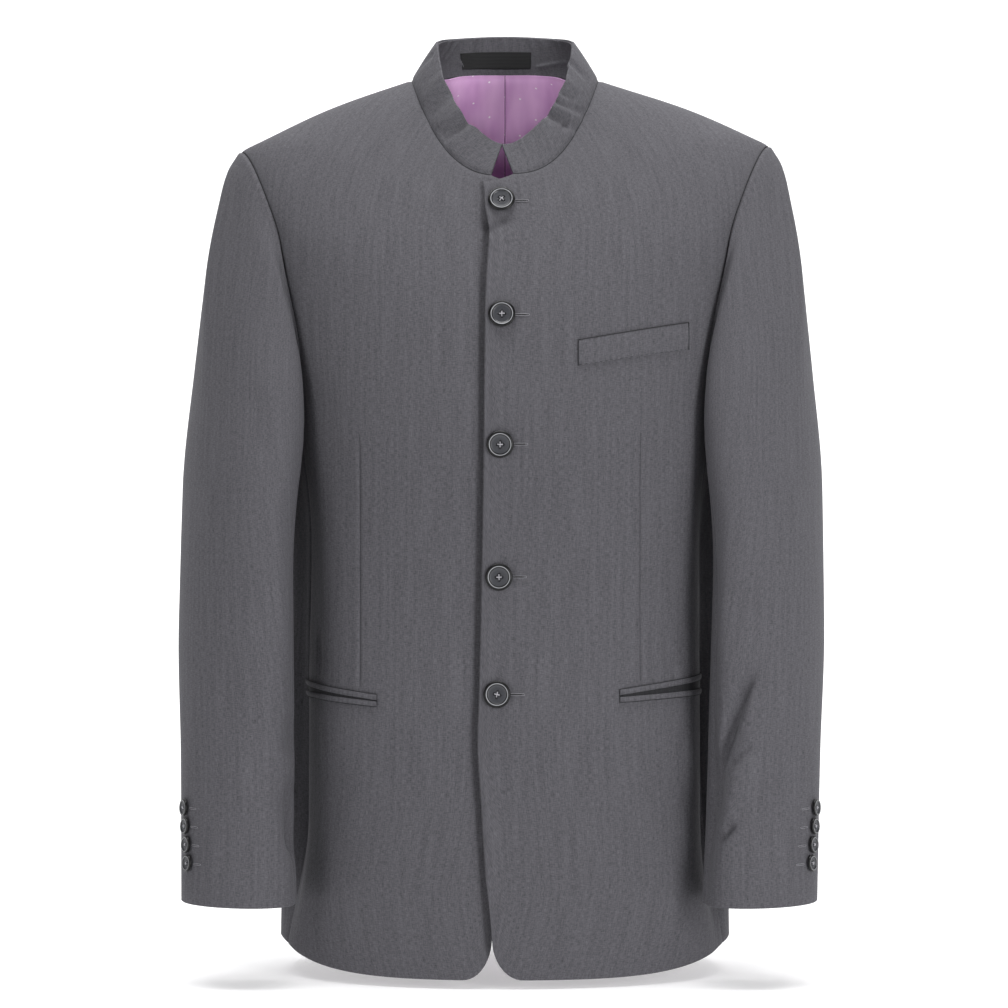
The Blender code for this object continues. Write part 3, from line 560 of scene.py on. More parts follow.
def ringed(name):
    """Button plastic whose colour follows the UV map's first number, the share of the radius; its pale ring
    is a painted highlight.
    """
    finish, tree, shader = new_finish(name, {"Roughness": 0.34, "Specular IOR Level": 0.35})
    place = add_node(tree, "UVMap", {}, uv_map="grain")
    parts = add_node(tree, "SeparateXYZ", {"Vector": place}).outputs
    ramp = add_node(tree, "ValToRGB", {"Fac": parts["X"]})
    elements = ramp.color_ramp.elements
    while len(elements) < len(BUTTON_BANDS):
        elements.new(0.5)
    for element, band in zip(elements, BUTTON_BANDS):
        element.position = band.radius
        element.color = linear(band.colour)
    feed(tree, shader, {"Base Color": ramp})
    return finish


label_ribbon = ribbon("label_taffeta_ribbon", "#0c0c0d", "#1a1a1c")
button_horn = ringed("button_plastic_painted_highlight_ring")
thread = twisted("sewing_thread_twisted", "#8d8c91", "#b5b4b9", 0.80)
hole_thread = twisted("buttonhole_thread_twisted", "#6f6e73", "#88878c", 0.80)
# Dark violet for the tube along the lining's centre seam: painted shade of the seam's fold.
violet_painted_seam_shade = twisted("lining_seam_painted_shade", "#2c1636", "#3f2149", 0.85)
# The dark thread sews the welt's stitches and also makes painted shade in seams and buttonhole slits.
dark_thread_and_painted_shade = twisted("seam_thread_dark_and_painted_shade", "#141416", "#242428", 0.85)
print("made", label_ribbon.name, button_horn.name, thread.name)

# %% [markdown]
# ## Making a sheet of cloth
# Every cloth piece is a grid of points on the outer face, a second grid one thickness inside it, and a rim
# that joins the two. A free edge, such as the hem, is a fold, so its rim is rounded. Columns and rows lie
# closer together near the edges, where the cloth dips into its seams.

# %% Grids and meshes
FINE_STEPS = np.array([0.0, 0.0004, 0.0010, 0.0020, 0.0036, 0.0060])
ROLL = 0.45


def spread(length, coarse, near_start=True, near_end=True):
    """Shares along a length: fine steps next to the chosen ends and even coarse steps between them."""
    start = FINE_STEPS if near_start else FINE_STEPS[:1]
    end = length - (FINE_STEPS if near_end else FINE_STEPS[:1])[::-1]
    count = max(2, int(round((end[0] - start[-1]) / coarse)) + 1)
    middle = np.linspace(start[-1], end[0], count)[1:-1]
    return np.concatenate([start, middle, end]) / length


def run_length(points, axis):
    """Running sum of the distances between neighbouring points along one axis of a grid."""
    step = np.linalg.norm(np.diff(points, axis=axis), axis=-1)
    nothing = np.zeros_like(np.take(step, [0], axis=axis))
    return np.concatenate([nothing, np.cumsum(step, axis=axis)], axis=axis)


def grid_quads(rows, columns, closed):
    """Corner numbers of a grid's faces, with the last column joined to the first where it is closed."""
    index = np.arange(rows * columns).reshape(rows, columns)
    if closed:
        index = np.concatenate([index, index[:, :1]], axis=1)
    corners = index[:-1, :-1], index[:-1, 1:], index[1:, 1:], index[1:, :-1]
    return np.stack(corners, axis=-1).reshape(-1, 4)


def add_mesh(name, points, quads, uv, materials, slots=None):
    """Object at the origin with the given points, four-sided faces, UV map in metres and materials."""
    mesh = bpy.data.meshes.new(name)
    mesh.vertices.add(len(points))
    mesh.vertices.foreach_set("co", np.ascontiguousarray(points, dtype=np.float32).ravel())
    mesh.loops.add(quads.size)
    mesh.loops.foreach_set("vertex_index", np.ascontiguousarray(quads, dtype=np.int32).ravel())
    mesh.polygons.add(len(quads))
    mesh.polygons.foreach_set("loop_start", np.arange(0, quads.size, 4, dtype=np.int32))
    for material in materials:
        mesh.materials.append(material)
    if slots is not None:
        mesh.polygons.foreach_set("material_index", np.asarray(slots, dtype=np.int32))
    layer = mesh.uv_layers.new(name="grain")
    layer.data.foreach_set("uv", np.ascontiguousarray(uv[quads.ravel()], dtype=np.float32).ravel())
    mesh.update(calc_edges=True)
    mesh.validate()
    mesh.shade_smooth()
    piece = bpy.data.objects.new(name, mesh)
    bpy.context.scene.collection.objects.link(piece)
    return piece


print("fine steps next to an edge:", len(FINE_STEPS))

# %% A closed sheet and its cut
EDGES_OF_GRID = {
    "bottom": (np.s_[0], np.s_[1]),
    "top": (np.s_[-1], np.s_[-2]),
    "left": (np.s_[:, 0], np.s_[:, 1]),
    "right": (np.s_[:, -1], np.s_[:, -2]),
}


def shell(name, outer, through, thickness, materials, rolled=(), grain=0, slide=0.0, lined=None):
    """Closed sheet: an outer grid, an inner grid one thickness along through, and a rim between them."""
    inner = outer - through * thickness
    push = np.zeros_like(outer)
    for edge in rolled:
        here, neighbour = EDGES_OF_GRID[edge]
        push[here] += unit(outer[here] - outer[neighbour]) * thickness * ROLL
    rows, columns = outer.shape[:2]
    count = rows * columns
    index = np.arange(count).reshape(rows, columns)
    loop = np.concatenate([index[0, :-1], index[:-1, -1], index[-1, :0:-1], index[:0:-1, 0]])
    after = np.roll(loop, -1)
    middle = 2 * count + np.arange(len(loop))
    middle_after = np.roll(middle, -1)
    face = grid_quads(rows, columns, False)
    rim = np.concatenate([
        np.stack([after, loop, middle, middle_after], axis=-1),
        np.stack([middle_after, middle, loop + count, after + count], axis=-1),
    ])
    quads = np.concatenate([face, face[:, ::-1] + count, rim])
    row, column = rows // 2, columns // 2
    here = outer[row, column]
    facing = np.cross(outer[row, column + 1] - here, outer[row + 1, column] - here)
    if np.dot(facing, through[row, column]) < 0:
        quads = quads[:, ::-1]
    rim_points = ((outer + inner) / 2 + push).reshape(-1, 3)[loop]
    across = run_length(outer, 1)
    across = across - across[:, grain][:, None] + slide
    uv = np.stack([across, run_length(outer, 0)], axis=-1).reshape(-1, 2)
    slots = np.zeros(len(quads), dtype=np.int32)
    if lined is not None:
        slots[len(face):2 * len(face)] = lined[:-1, :-1].ravel()
    points = np.concatenate([outer.reshape(-1, 3), inner.reshape(-1, 3), rim_points])
    return add_mesh(name, points, quads, np.concatenate([uv, uv, uv[loop]]), materials, slots)


def sew(piece, nodes):
    """Ride a cloth piece on the jacket and let it stand for its nodes, which are hidden."""
    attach(piece, "root")
    if nodes:
        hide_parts(*nodes)


print("edges of a sheet:", *EDGES_OF_GRID)

# %% [markdown]
# ## Creases and seams
# A crease is a bell-shaped dip along a line, placed where the camera sees it. At a seam both pieces dip
# together, and they stop just short of each other. Where two pieces meet at an angle, the direction
# through the cloth turns to the middle of both normals, like the mitre of a picture frame.

# %% Creases, seams and mitred edges
CAMERA_DISTANCE = 2.6
CAMERA_HEIGHT = -0.362
CREASE_END = 0.06
CREASE_FADE = 0.30
LEAN_TURN = 3.0
FACING_RAMP = 2.0
Crease = namedtuple("Crease", "x1 z1 x2 z2 width depth lean", defaults=(0.0,))


def seen_from_front(points):
    """Where points appear to the camera on the upright plane through the origin."""
    scale = CAMERA_DISTANCE / (CAMERA_DISTANCE + points[..., 1])
    return points[..., 0] * scale, CAMERA_HEIGHT + (points[..., 2] - CAMERA_HEIGHT) * scale


def beside_line(x, z, x1, z1, along_x, along_z):
    """Share along a line of the spot nearest to each place, clipped to its ends, and the way to it."""
    share = ((x - x1) * along_x + (z - z1) * along_z) / (along_x**2 + along_z**2)
    share = np.clip(share, 0.0, 1.0)
    return share, np.hypot(x - x1 - share * along_x, z - z1 - share * along_z)


def creased(points, normals, creases, facing, wrap=0.0):
    """Push points in by bells across lines, steeper on one side by lean, less where cloth turns away."""
    x, z = seen_from_front(points)
    depth = np.zeros_like(x)
    for crease in creases:
        along_x, along_z = crease.x2 - crease.x1, crease.z2 - crease.z1
        share, away = beside_line(x, z, crease.x1, crease.z1, along_x, along_z)
        beside = (x - crease.x1) * along_z - (z - crease.z1) * along_x
        beside = beside / math.hypot(along_x, along_z)
        width = crease.width * (1.0 + crease.lean * np.tanh(LEAN_TURN * beside / crease.width))
        taper = ease((np.minimum(share, 1.0 - share) + CREASE_END) / CREASE_FADE)
        depth += crease.depth * taper * np.exp(-(away / width)**2)
    turned = ease((facing * normals[..., 1] + wrap) * FACING_RAMP)
    return points - normals * (depth * turned)[..., None]


def edge_distance(points, edge):
    """Distance of each point of a grid from one of its edges, measured along the cloth."""
    if edge in ("left", "right"):
        across = run_length(points, 1)
        return across if edge == "left" else across[:, -1:] - across
    along = run_length(points, 0)
    return along if edge == "bottom" else along[-1:] - along


def seamed(points, through, edges, depth, soft):
    """Dip the named edges into their seams by depth times a bell of the distance from the edge."""
    near = np.zeros(points.shape[:2])
    for edge in edges:
        near = np.maximum(near, np.exp(-(edge_distance(points, edge) / soft)**2))
    return points - through * (depth * near)[..., None]


def take_in(points, edges):
    """Draw the named edges in by half a closed seam, so that sewn neighbours don't touch."""
    moved = points.copy()
    for edge in edges:
        here, neighbour = EDGES_OF_GRID[edge]
        moved[here] = moved[here] + unit(points[neighbour] - points[here]) * CLOSED_SEAM / 2
    return moved


SEAM_DIP = 0.0009
SEAM_SOFT = 0.0022


def sewn(points, through, edges):
    """Dip the named edges into their seams and draw them in."""
    return take_in(seamed(points, through, edges, SEAM_DIP, SEAM_SOFT), edges)


STEEPEST_MITRE = 0.45
MITRE_WIDTH = 0.012


def mitre(first_normals, second_normals):
    """Middle direction of two normals, lengthened by one over the cosine of half their angle."""
    middle = unit(first_normals + second_normals)
    lean = np.sum(middle * first_normals, axis=-1, keepdims=True)
    return middle / np.maximum(lean, STEEPEST_MITRE)


def blend_mitre(through, away, edge_direction):
    """Blend the direction through the cloth from the normal to an edge's mitre over a short way."""
    share = np.clip(1.0 - away / MITRE_WIDTH, 0.0, 1.0)[..., None]
    return part_way(through, edge_direction, share)


print("mitre of two equal normals:", mitre(UP, UP))

# %% [markdown]
# ## The two fronts
# Each front is cut in one piece from the overlapping edge to the side seam, with a rounded hem corner, a
# dart from the chest to the hip pocket, and an armhole. The grid has a column on the dart, so the sewn
# valley is real geometry. The left front laps over the right one and stands off it a little.

# %% Front edges, darts and creases
Edge = namedtuple("Edge", "z left_x right_x")
EDGES = (
    Edge(-0.748, -0.0100, -0.0110),
    Edge(-0.717, -0.0106, -0.0108),
    Edge(-0.670, -0.0146, -0.0010),
    Edge(-0.605, -0.0187, 0.0100),
    Edge(-0.555, -0.0216, 0.0120),
    Edge(-0.515, -0.0203, 0.0120),
    Edge(-0.300, -0.0163, 0.0120),
    Edge(-0.098, -0.0147, 0.0120),
)
CORNER_WIDTH = 0.022
CORNER_HEIGHT = 0.034
CORNER_FADE = 0.10
UNDERLAP_NEAR = 0.004
UNDERLAP_FAR = 0.030
TUCK_WIDTH = 0.013
TUCK_DEPTH = 0.0046
TUCK_TOP_Z = -0.104
TUCK_FADE = 0.030
HEM_TURN_UP = 0.040
LINED_FROM_Z = -0.45
FACING_WIDTH = 0.075
COLLAR_CENTRE_X = -0.0025
COLLAR_GAP_FOOT = 0.0100
COLLAR_GAP_TOP = 0.0004
NECK_DROP = 0.016
NECK_FADE = 0.10
DART_X = {1: 0.1110, -1: -0.1192}
DART_TOP_Z = -0.301
DART_FOOT_Z = -0.512
DART_DEPTH = 0.0011
DART_SOFT = 0.0013
DART_SWELL = 0.3
DART_SWELL_WIDTH = 0.006
DART_TOP_FADE = 0.020
DART_FOOT_FADE = 0.004
DART_LEVEL = 0.60
FRONT_DART_LENGTH = 0.115
FRONT_DART_STEP = 0.0030
DART_SEAM_LENGTH = 0.075
DART_SEAM_STEP = 0.0026
EDGE_LIFT = 0.0018
EDGE_LIFT_WIDTH = 0.016
FRONT_CREASES = (
    Crease(0.0030, -0.1140, -0.0170, -0.1330, 0.0040, 0.0030, -0.4),  # under the top button
    Crease(0.1385, -0.4780, 0.1420, -0.5080, 0.0034, 0.0016),    # above the left pocket
    Crease(0.1490, -0.4700, 0.1510, -0.5000, 0.0034, 0.0016),
    Crease(-0.1640, -0.4700, -0.1620, -0.5090, 0.0034, 0.0018),  # above the right pocket
    Crease(-0.1560, -0.4800, -0.1530, -0.5120, 0.0034, 0.0016),
    Crease(0.1520, -0.2550, 0.1250, -0.3700, 0.0150, 0.0016),    # pull from the left armhole
    Crease(-0.1600, -0.2500, -0.1350, -0.3900, 0.0150, 0.0018),  # pull from the right armhole
    Crease(0.1480, -0.5900, 0.1360, -0.6800, 0.0120, 0.0012),    # soft fall below the pockets
    Crease(-0.1500, -0.5800, -0.1420, -0.6900, 0.0120, 0.0012),
    Crease(0.1760, -0.2850, 0.1770, -0.7350, 0.0125, 0.0080),    # hollows that the sleeves press in
    Crease(-0.1770, -0.2850, -0.1790, -0.7350, 0.0230, 0.0110),
    Crease(0.1832, -0.2950, 0.1842, -0.7350, 0.0066, 0.0170),    # the sharp bottoms of these hollows
    Crease(-0.1870, -0.2950, -0.1890, -0.7350, 0.0070, 0.0160),
)
print("creases of the fronts:", len(FRONT_CREASES))

# %% Grid of a front
SIDES = ((1, "left"), (-1, "right"))
SIDE_SEAM_LENGTH = 0.44
SIDE_SEAM_STEP = 0.0048
SHOULDER_SEAM_LENGTH = 0.150
SHOULDER_SEAM_STEP = 0.0032
ARM_ROWS = 60
FRONT_ARM_TURNS = np.linspace(FRONT_SEAM_ARM, 0.0, ARM_ROWS)
BACK_ARM_TURNS = np.linspace(BACK_SEAM_ARM, 2 * math.pi, ARM_ROWS)
HEM_SAMPLES = 40


def edge_angle(level, column):
    """Angle of a front edge: arc tangent of its x over the ring's half width."""
    centre = body_point(0.0, level)
    edge_x = between(EDGES, column, centre[..., 2])
    return np.arctan2(edge_x, between(BODY, "half_width", level))


def underlap(points):
    """How far the right front lies under the left front's edge."""
    start = between(EDGES, "left_x", points[..., 2]) - UNDERLAP_FAR
    return (CLOTH + SEAM) * ease((points[..., 0] - start) / (UNDERLAP_FAR - UNDERLAP_NEAR))


def tuck(points):
    """How far the right front sinks beside and under the left front's edge, fading out at the neck."""
    start = between(EDGES, "left_x", points[..., 2]) - TUCK_WIDTH
    below_neck = ease((TUCK_TOP_Z - points[..., 2]) / TUCK_FADE)
    return TUCK_DEPTH * ease((points[..., 0] - start) / TUCK_WIDTH) * below_neck


def seam_line(hem_angle, arm_turns):
    """Angle and level from the hem up a side seam, round an armhole's edge and along the shoulder seam."""
    arm_angle, arm_level = armhole(arm_turns)
    share = spread(SIDE_SEAM_LENGTH, SIDE_SEAM_STEP, near_end=False)
    shoulder = spread(SHOULDER_SEAM_LENGTH, SHOULDER_SEAM_STEP, near_start=False)[1:]
    side_angle = part_way(hem_angle, arm_angle[0], share)
    shoulder_level = part_way(ARMHOLE_TOP, 1.0, shoulder)
    angles = np.concatenate([side_angle, arm_angle[1:], np.full(len(shoulder), math.pi / 2)])
    levels = np.concatenate([arm_level[0] * share, arm_level[1:], shoulder_level])
    return angles, levels, np.s_[len(share) - 1:len(share) + len(arm_turns) - 1]


def angle_at(x, level):
    """Newton's method for the angle at which a ring reaches x."""
    angle = np.full(np.shape(level), float(x) / BODY[WAIST_ROW].half_width)
    for _ in range(NEWTON_ROUNDS):
        here = body_point(angle, level)[..., 0]
        angle = angle + (x - here) * STEP / (body_point(angle + STEP, level)[..., 0] - here)
    return angle


def front_grid(side):
    """Angles and levels of a front: a column on the dart, a rounded hem corner, a lowered neck corner."""
    seam_angle, seam_level, arm = seam_line(FRONT_SEAM_HEM, FRONT_ARM_TURNS)
    column = "left_x" if side > 0 else "right_x"
    low_level = np.minimum(seam_level, DART_LEVEL)
    low_edge = edge_angle(low_level, column)
    low_seam = np.interp(low_level, seam_level[:arm.start + 1], seam_angle[:arm.start + 1])
    dart = (angle_at(DART_X[side], low_level) - low_edge) / (side * low_seam - low_edge)
    to_dart = spread(FRONT_DART_LENGTH, FRONT_DART_STEP)
    to_seam = spread(DART_SEAM_LENGTH, DART_SEAM_STEP)
    past_dart = part_way(dart[:, None], 1.0, to_seam[1:])
    shares = np.concatenate([dart[:, None] * to_dart, past_dart], axis=1)
    hem = body_point(np.linspace(0.0, FRONT_SEAM_HEM, HEM_SAMPLES), 0.0)
    hem_length = np.sum(np.linalg.norm(np.diff(hem, axis=0), axis=-1))
    inside = np.clip(1.0 - shares[0] * hem_length / CORNER_WIDTH, 0.0, 1.0)
    lift = CORNER_HEIGHT * (1.0 - np.sqrt(1.0 - inside**2))
    low, high = body_point(0.0, np.array([0.0, CORNER_FADE]))[:, 2]
    near_hem = np.clip(1.0 - seam_level / CORNER_FADE, 0.0, 1.0)[:, None]
    levels = seam_level[:, None] + lift * CORNER_FADE / (high - low) * near_hem
    edge = edge_angle(levels[:, 0], column)
    angles = part_way(edge[:, None], side * seam_angle[:, None], shares)
    past_centre = side * COLLAR_CENTRE_X - side * body_point(angles, levels)[..., 0]
    drop = np.clip((past_centre + COLLAR_GAP_FOOT) / (2 * COLLAR_GAP_FOOT), 0.0, 1.0)
    near_neck = np.clip(1.0 - (1.0 - seam_level) / NECK_FADE, 0.0, 1.0)[:, None]
    return angles, levels - NECK_DROP * drop * near_neck, arm, len(to_dart) - 1


def neck_mitre(angle):
    """Mitre between the body and the collar along the neck seam."""
    return mitre(normal_of(body_point, angle, 1.0), normal_of(collar_point, angle, 0.0))


def body_mitres(points, normals, neck_angles, side, arm, arm_turns, edge):
    """Directions through a front or back, mitred along its armhole and its neck seam."""
    here, _ = EDGES_OF_GRID[edge]
    edge_direction = normals[here].copy()
    sleeve_normals = sleeve_normal(arm_place(arm_turns), 0.0, side)
    edge_direction[arm] = mitre(edge_direction[arm], sleeve_normals)
    through = blend_mitre(normals, edge_distance(points, edge), edge_direction[:, None])
    return blend_mitre(through, edge_distance(points, "top"), neck_mitre(neck_angles)[None])


print("rows of a front:", len(seam_line(FRONT_SEAM_HEM, FRONT_ARM_TURNS)[0]))

# %% Left and right front
dart_lines = {}
arm_lines = {}
for side, word in SIDES:
    angles, levels, arm, dart_column = front_grid(side)
    points, normals = on_body(angles, levels)
    through = body_mitres(points, normals, angles[-1], side, arm, FRONT_ARM_TURNS, "right")
    if side < 0:
        points = points - normals * (underlap(points) + tuck(points))[..., None]
    else:
        near_edge = ease(1.0 - edge_distance(points, "left") / EDGE_LIFT_WIDTH)
        points = points + normals * (EDGE_LIFT * near_edge)[..., None]
    points = creased(points, normals, FRONT_CREASES, -1.0)
    across = run_length(points, 1)
    from_dart = across - across[:, dart_column][:, None]
    z = points[..., 2]
    along_dart = ease((DART_TOP_Z - z) / DART_TOP_FADE) * ease((z - DART_FOOT_Z) / DART_FOOT_FADE)
    swell = DART_SWELL * DART_DEPTH * np.exp(-(from_dart / DART_SWELL_WIDTH)**2)
    valley = DART_DEPTH * np.exp(-(from_dart / DART_SOFT)**2) - swell
    points = points - normals * (valley * along_dart)[..., None]
    points = sewn(points, through, ("right", "top"))
    lined = (points[..., 2] > LINED_FROM_Z) & (edge_distance(points, "left") > FACING_WIDTH)
    piece = shell("front_cloth_" + word, points, through, CLOTH, (suiting, lining_satin),
                  ("left", "bottom"), lined=lined)
    sew(piece, ["front_" + word])
    on_dart = (points[:, dart_column, 2] < DART_TOP_Z) & (points[:, dart_column, 2] > DART_FOOT_Z)
    dart_lines[side] = points[on_dart, dart_column], normals[on_dart, dart_column]
    arm_lines[side] = points[arm, -1], unit(through[arm, -1])

# %% [markdown]
# ## Side panels, backs and lining
# The side panel runs from the hem up to the foot of the armhole, and the back is cut in two halves with a
# seam down the middle. Nobody sees them in the photograph, so they stay plain, with a few soft pulls of the
# kind that a jacket has under the arms and in the small of the back. The lining lies inside the back.

# %% Side panels
SIDE_WIDTH = 0.120
SIDE_STEP = 0.004
for side, word in SIDES:
    share = spread(SIDE_SEAM_LENGTH, SIDE_SEAM_STEP)[:, None]
    columns = spread(SIDE_WIDTH, SIDE_STEP)
    turns = part_way(FRONT_SEAM_ARM, BACK_SEAM_ARM, columns)
    arm_angle, arm_level = armhole(turns)
    hem_angle = part_way(FRONT_SEAM_HEM, BACK_SEAM_HEM, columns)
    points, normals = on_body(side * part_way(hem_angle, arm_angle, share), arm_level * share)
    arm_mitre = mitre(normals[-1], sleeve_normal(arm_place(turns), 0.0, side))
    through = blend_mitre(normals, edge_distance(points, "top"), arm_mitre[None])
    points = creased(points, normals, FRONT_CREASES, -1.0)
    points = sewn(points, through, ("left", "right", "top"))
    lined = points[..., 2] > LINED_FROM_Z
    piece = shell("side_cloth_" + word, points, through, CLOTH, (suiting, lining_satin),
                  ("bottom",), len(columns) // 2, lined=lined)
    sew(piece, ["side_" + word])

# %% Backs and their lining
BACK_CREASES = (
    Crease(0.1500, -0.2300, 0.1050, -0.3300, 0.0130, 0.0022),    # pulls under the arms
    Crease(-0.1520, -0.2250, -0.1100, -0.3400, 0.0130, 0.0024),
    Crease(0.1300, -0.2000, 0.1000, -0.2600, 0.0100, 0.0012),
    Crease(-0.0900, -0.4150, -0.0200, -0.4300, 0.0080, 0.0016),  # small of the back
    Crease(0.0150, -0.4400, 0.0950, -0.4250, 0.0080, 0.0015),
    Crease(-0.0700, -0.4550, -0.0050, -0.4620, 0.0070, 0.0010),
    Crease(0.0450, -0.0450, 0.1050, -0.0750, 0.0090, 0.0010),    # below the collar
    Crease(-0.0500, -0.0480, -0.1100, -0.0760, 0.0090, 0.0010),
)
LINING_CREASES = (
    Crease(-0.0480, 0.0050, -0.0420, -0.0550, 0.0060, -0.0030),
    Crease(0.0530, 0.0050, 0.0440, -0.0500, 0.0060, -0.0028),
    Crease(-0.0200, -0.0250, -0.0260, -0.0900, 0.0070, -0.0022),
    Crease(0.0240, -0.0300, 0.0200, -0.1000, 0.0070, -0.0020),
)
BACK_WIDTH = 0.190
BACK_STEP = 0.006
LINING_FOOT_LEVEL = 0.035
LINING_LOOSE = 0.0012
LINING_SEAM_SOFT = 0.0007
LINING_TOP_SOFT = 0.008
DOT_SLIDE = {1: 0.0135, -1: 0.0}
lining_edges = {}
back_edges = {}
for side, word in SIDES:
    seam_angle, seam_level, arm = seam_line(BACK_SEAM_HEM, BACK_ARM_TURNS)
    shares = spread(BACK_WIDTH, BACK_STEP)
    angles = side * part_way(seam_angle[:, None], math.pi, shares)
    points, normals = on_body(angles, seam_level[:, None])
    through = body_mitres(points, normals, angles[-1], side, arm, BACK_ARM_TURNS, "left")
    points = creased(points, normals, BACK_CREASES, 1.0)
    points = sewn(points, through, ("left", "right", "top"))
    back_edges[side] = points[:, -1]
    piece = shell("back_cloth_" + word, points, through, CLOTH, (suiting,), ("bottom",), len(shares) - 1)
    sew(piece, ["back_" + word])
    first = int(np.searchsorted(seam_level, LINING_FOOT_LEVEL))
    inside = points[first:] - through[first:] * (CLOTH + SEAM + LINING_CLOTH)
    off_seam = 1.0 - np.exp(-(edge_distance(inside, "right") / LINING_SEAM_SOFT)**2)
    loose = LINING_LOOSE * off_seam * ease(edge_distance(inside, "top") / LINING_TOP_SOFT)
    inside = inside - through[first:] * loose[..., None]
    inside = creased(inside, -normals[first:], LINING_CREASES, -1.0)
    lining_edges[side] = inside[:, -1]
    piece = shell("lining_satin_back_" + word, inside, -through[first:], LINING_CLOTH, (lining_satin,),
                  ("bottom",), len(shares) - 1, DOT_SLIDE[side])
    sew(piece, ["lining_back_" + word])

# %% [markdown]
# ## Sleeves
# A suit sleeve has two parts, a wide top sleeve and a narrow under sleeve, joined by two seams. It hangs
# from the armhole and folds where the wrist would bend. The big folds are part of the tube's own shape, and
# the sharper creases are pressed in afterwards, where they appear from the front.

# %% Top and under sleeves
SLEEVE_ROLL = 0.0012
LOWER_ROLL = 0.0034
SLEEVE_SOFT = 0.0070
SLEEVE_FOLD = 0.0016
SLEEVE_WRAP = 0.35
LOWER_ARMHOLE = 0.6
SLEEVE_ROW_STEP = 0.0032
SLEEVE_CREASES = (
    Crease(0.2150, -0.5000, 0.1765, -0.6020, 0.0062, 0.0090, 0.55),    # long fold of the left sleeve
    Crease(0.2220, -0.5200, 0.1970, -0.5950, 0.0100, -0.0030),
    Crease(0.2110, -0.5660, 0.1900, -0.5846, 0.0042, 0.0036, -0.30),   # shorter fold below it
    Crease(0.2040, -0.5900, 0.1930, -0.6100, 0.0080, -0.0018),
    Crease(0.1960, -0.6340, 0.1790, -0.6510, 0.0045, 0.0048, 0.40),    # dents by its inner edge
    Crease(0.1790, -0.5850, 0.1810, -0.6400, 0.0060, 0.0036),
    Crease(0.1700, -0.3500, 0.1690, -0.7150, 0.0085, 0.0085),
    Crease(0.2230, -0.5950, 0.2130, -0.6650, 0.0120, 0.0018),
    Crease(0.2000, -0.4300, 0.1950, -0.5000, 0.0120, 0.0016),
    Crease(-0.1770, -0.5960, -0.1770, -0.6580, 0.0090, 0.0140, -0.30),  # pinch of the right sleeve
    Crease(-0.1800, -0.5400, -0.1850, -0.5780, 0.0070, 0.0030),
    Crease(-0.1720, -0.3500, -0.1745, -0.7150, 0.0070, 0.0045),
    Crease(-0.1960, -0.5650, -0.1960, -0.6150, 0.0100, -0.0016),
    Crease(-0.2080, -0.5400, -0.2030, -0.6100, 0.0130, 0.0016),
    Crease(-0.2380, -0.4700, -0.2360, -0.6000, 0.0140, 0.0014),
    Crease(-0.2150, -0.2600, -0.2050, -0.3300, 0.0120, 0.0016),  # soft pulls below the armholes
    Crease(0.2120, -0.2550, 0.2020, -0.3250, 0.0120, 0.0014),
)
SLEEVE_BACK_CREASES = (
    Crease(0.2350, -0.3300, 0.2050, -0.3750, 0.0110, 0.0030),    # elbows, from behind
    Crease(0.2300, -0.3650, 0.2000, -0.3950, 0.0100, 0.0022),
    Crease(-0.2380, -0.3350, -0.2080, -0.3850, 0.0110, 0.0030),
    Crease(-0.2300, -0.3750, -0.2000, -0.4050, 0.0100, 0.0020),
)
Part = namedtuple("Part", "kind start end arc step")
SLEEVE_PARTS = (
    Part("top", BACK_SEAM_PLACE, ARM_PLACES + FRONT_SEAM_PLACE, 0.190, 0.0020),
    Part("under", FRONT_SEAM_PLACE, BACK_SEAM_PLACE, 0.150, 0.0030),
)
for side, word in SIDES:
    for part in SLEEVE_PARTS:
        columns = part_way(part.start, part.end, spread(part.arc, part.step))
        runs = spread(SLEEVE_LENGTH, SLEEVE_ROW_STEP)[::-1][:, None]
        points = sleeve_surface(columns, runs, side)
        normals = sleeve_normal(columns, runs, side)
        turns = arm_turn(columns)
        angle, level = armhole(turns)
        body_normals = normal_of(body_point, side * angle, level)
        arm_mitre = mitre(normals[-1], body_normals)
        through = blend_mitre(normals, edge_distance(points, "top"), arm_mitre[None])
        points = creased(points, normals, SLEEVE_CREASES, -1.0, SLEEVE_WRAP)
        points = creased(points, normals, SLEEVE_BACK_CREASES, 1.0)
        roll = SLEEVE_ROLL + LOWER_ROLL * ease(LOWER_ARMHOLE - np.cos(turns))
        points = seamed(points, through, ("top",), -roll, SLEEVE_SOFT)
        points = seamed(points, through, ("top",), SEAM_DIP + roll, SLEEVE_FOLD)
        points = seamed(points, through, ("left", "right"), SEAM_DIP, SEAM_SOFT)
        points = take_in(points, ("left", "right", "top"))
        lined = edge_distance(points, "bottom") > HEM_TURN_UP
        name = part.kind + "_" + word
        piece = shell("sleeve_cloth_" + name, points, through, CLOTH, (suiting, lining_satin),
                      ("bottom",), len(columns) // 2, lined=lined)
        sew(piece, ["sleeve_" + name])

# %% [markdown]
# ## The band collar and its label
# A band collar is a curved strip that stands up from the neck seam. Its two layers are sewn together along
# the top edge, which is a fold, and the strip wrinkles where it bends. The two ends meet at the top and
# stand apart at the seam, so a small triangle of lining shows. The label is a plain ribbon.

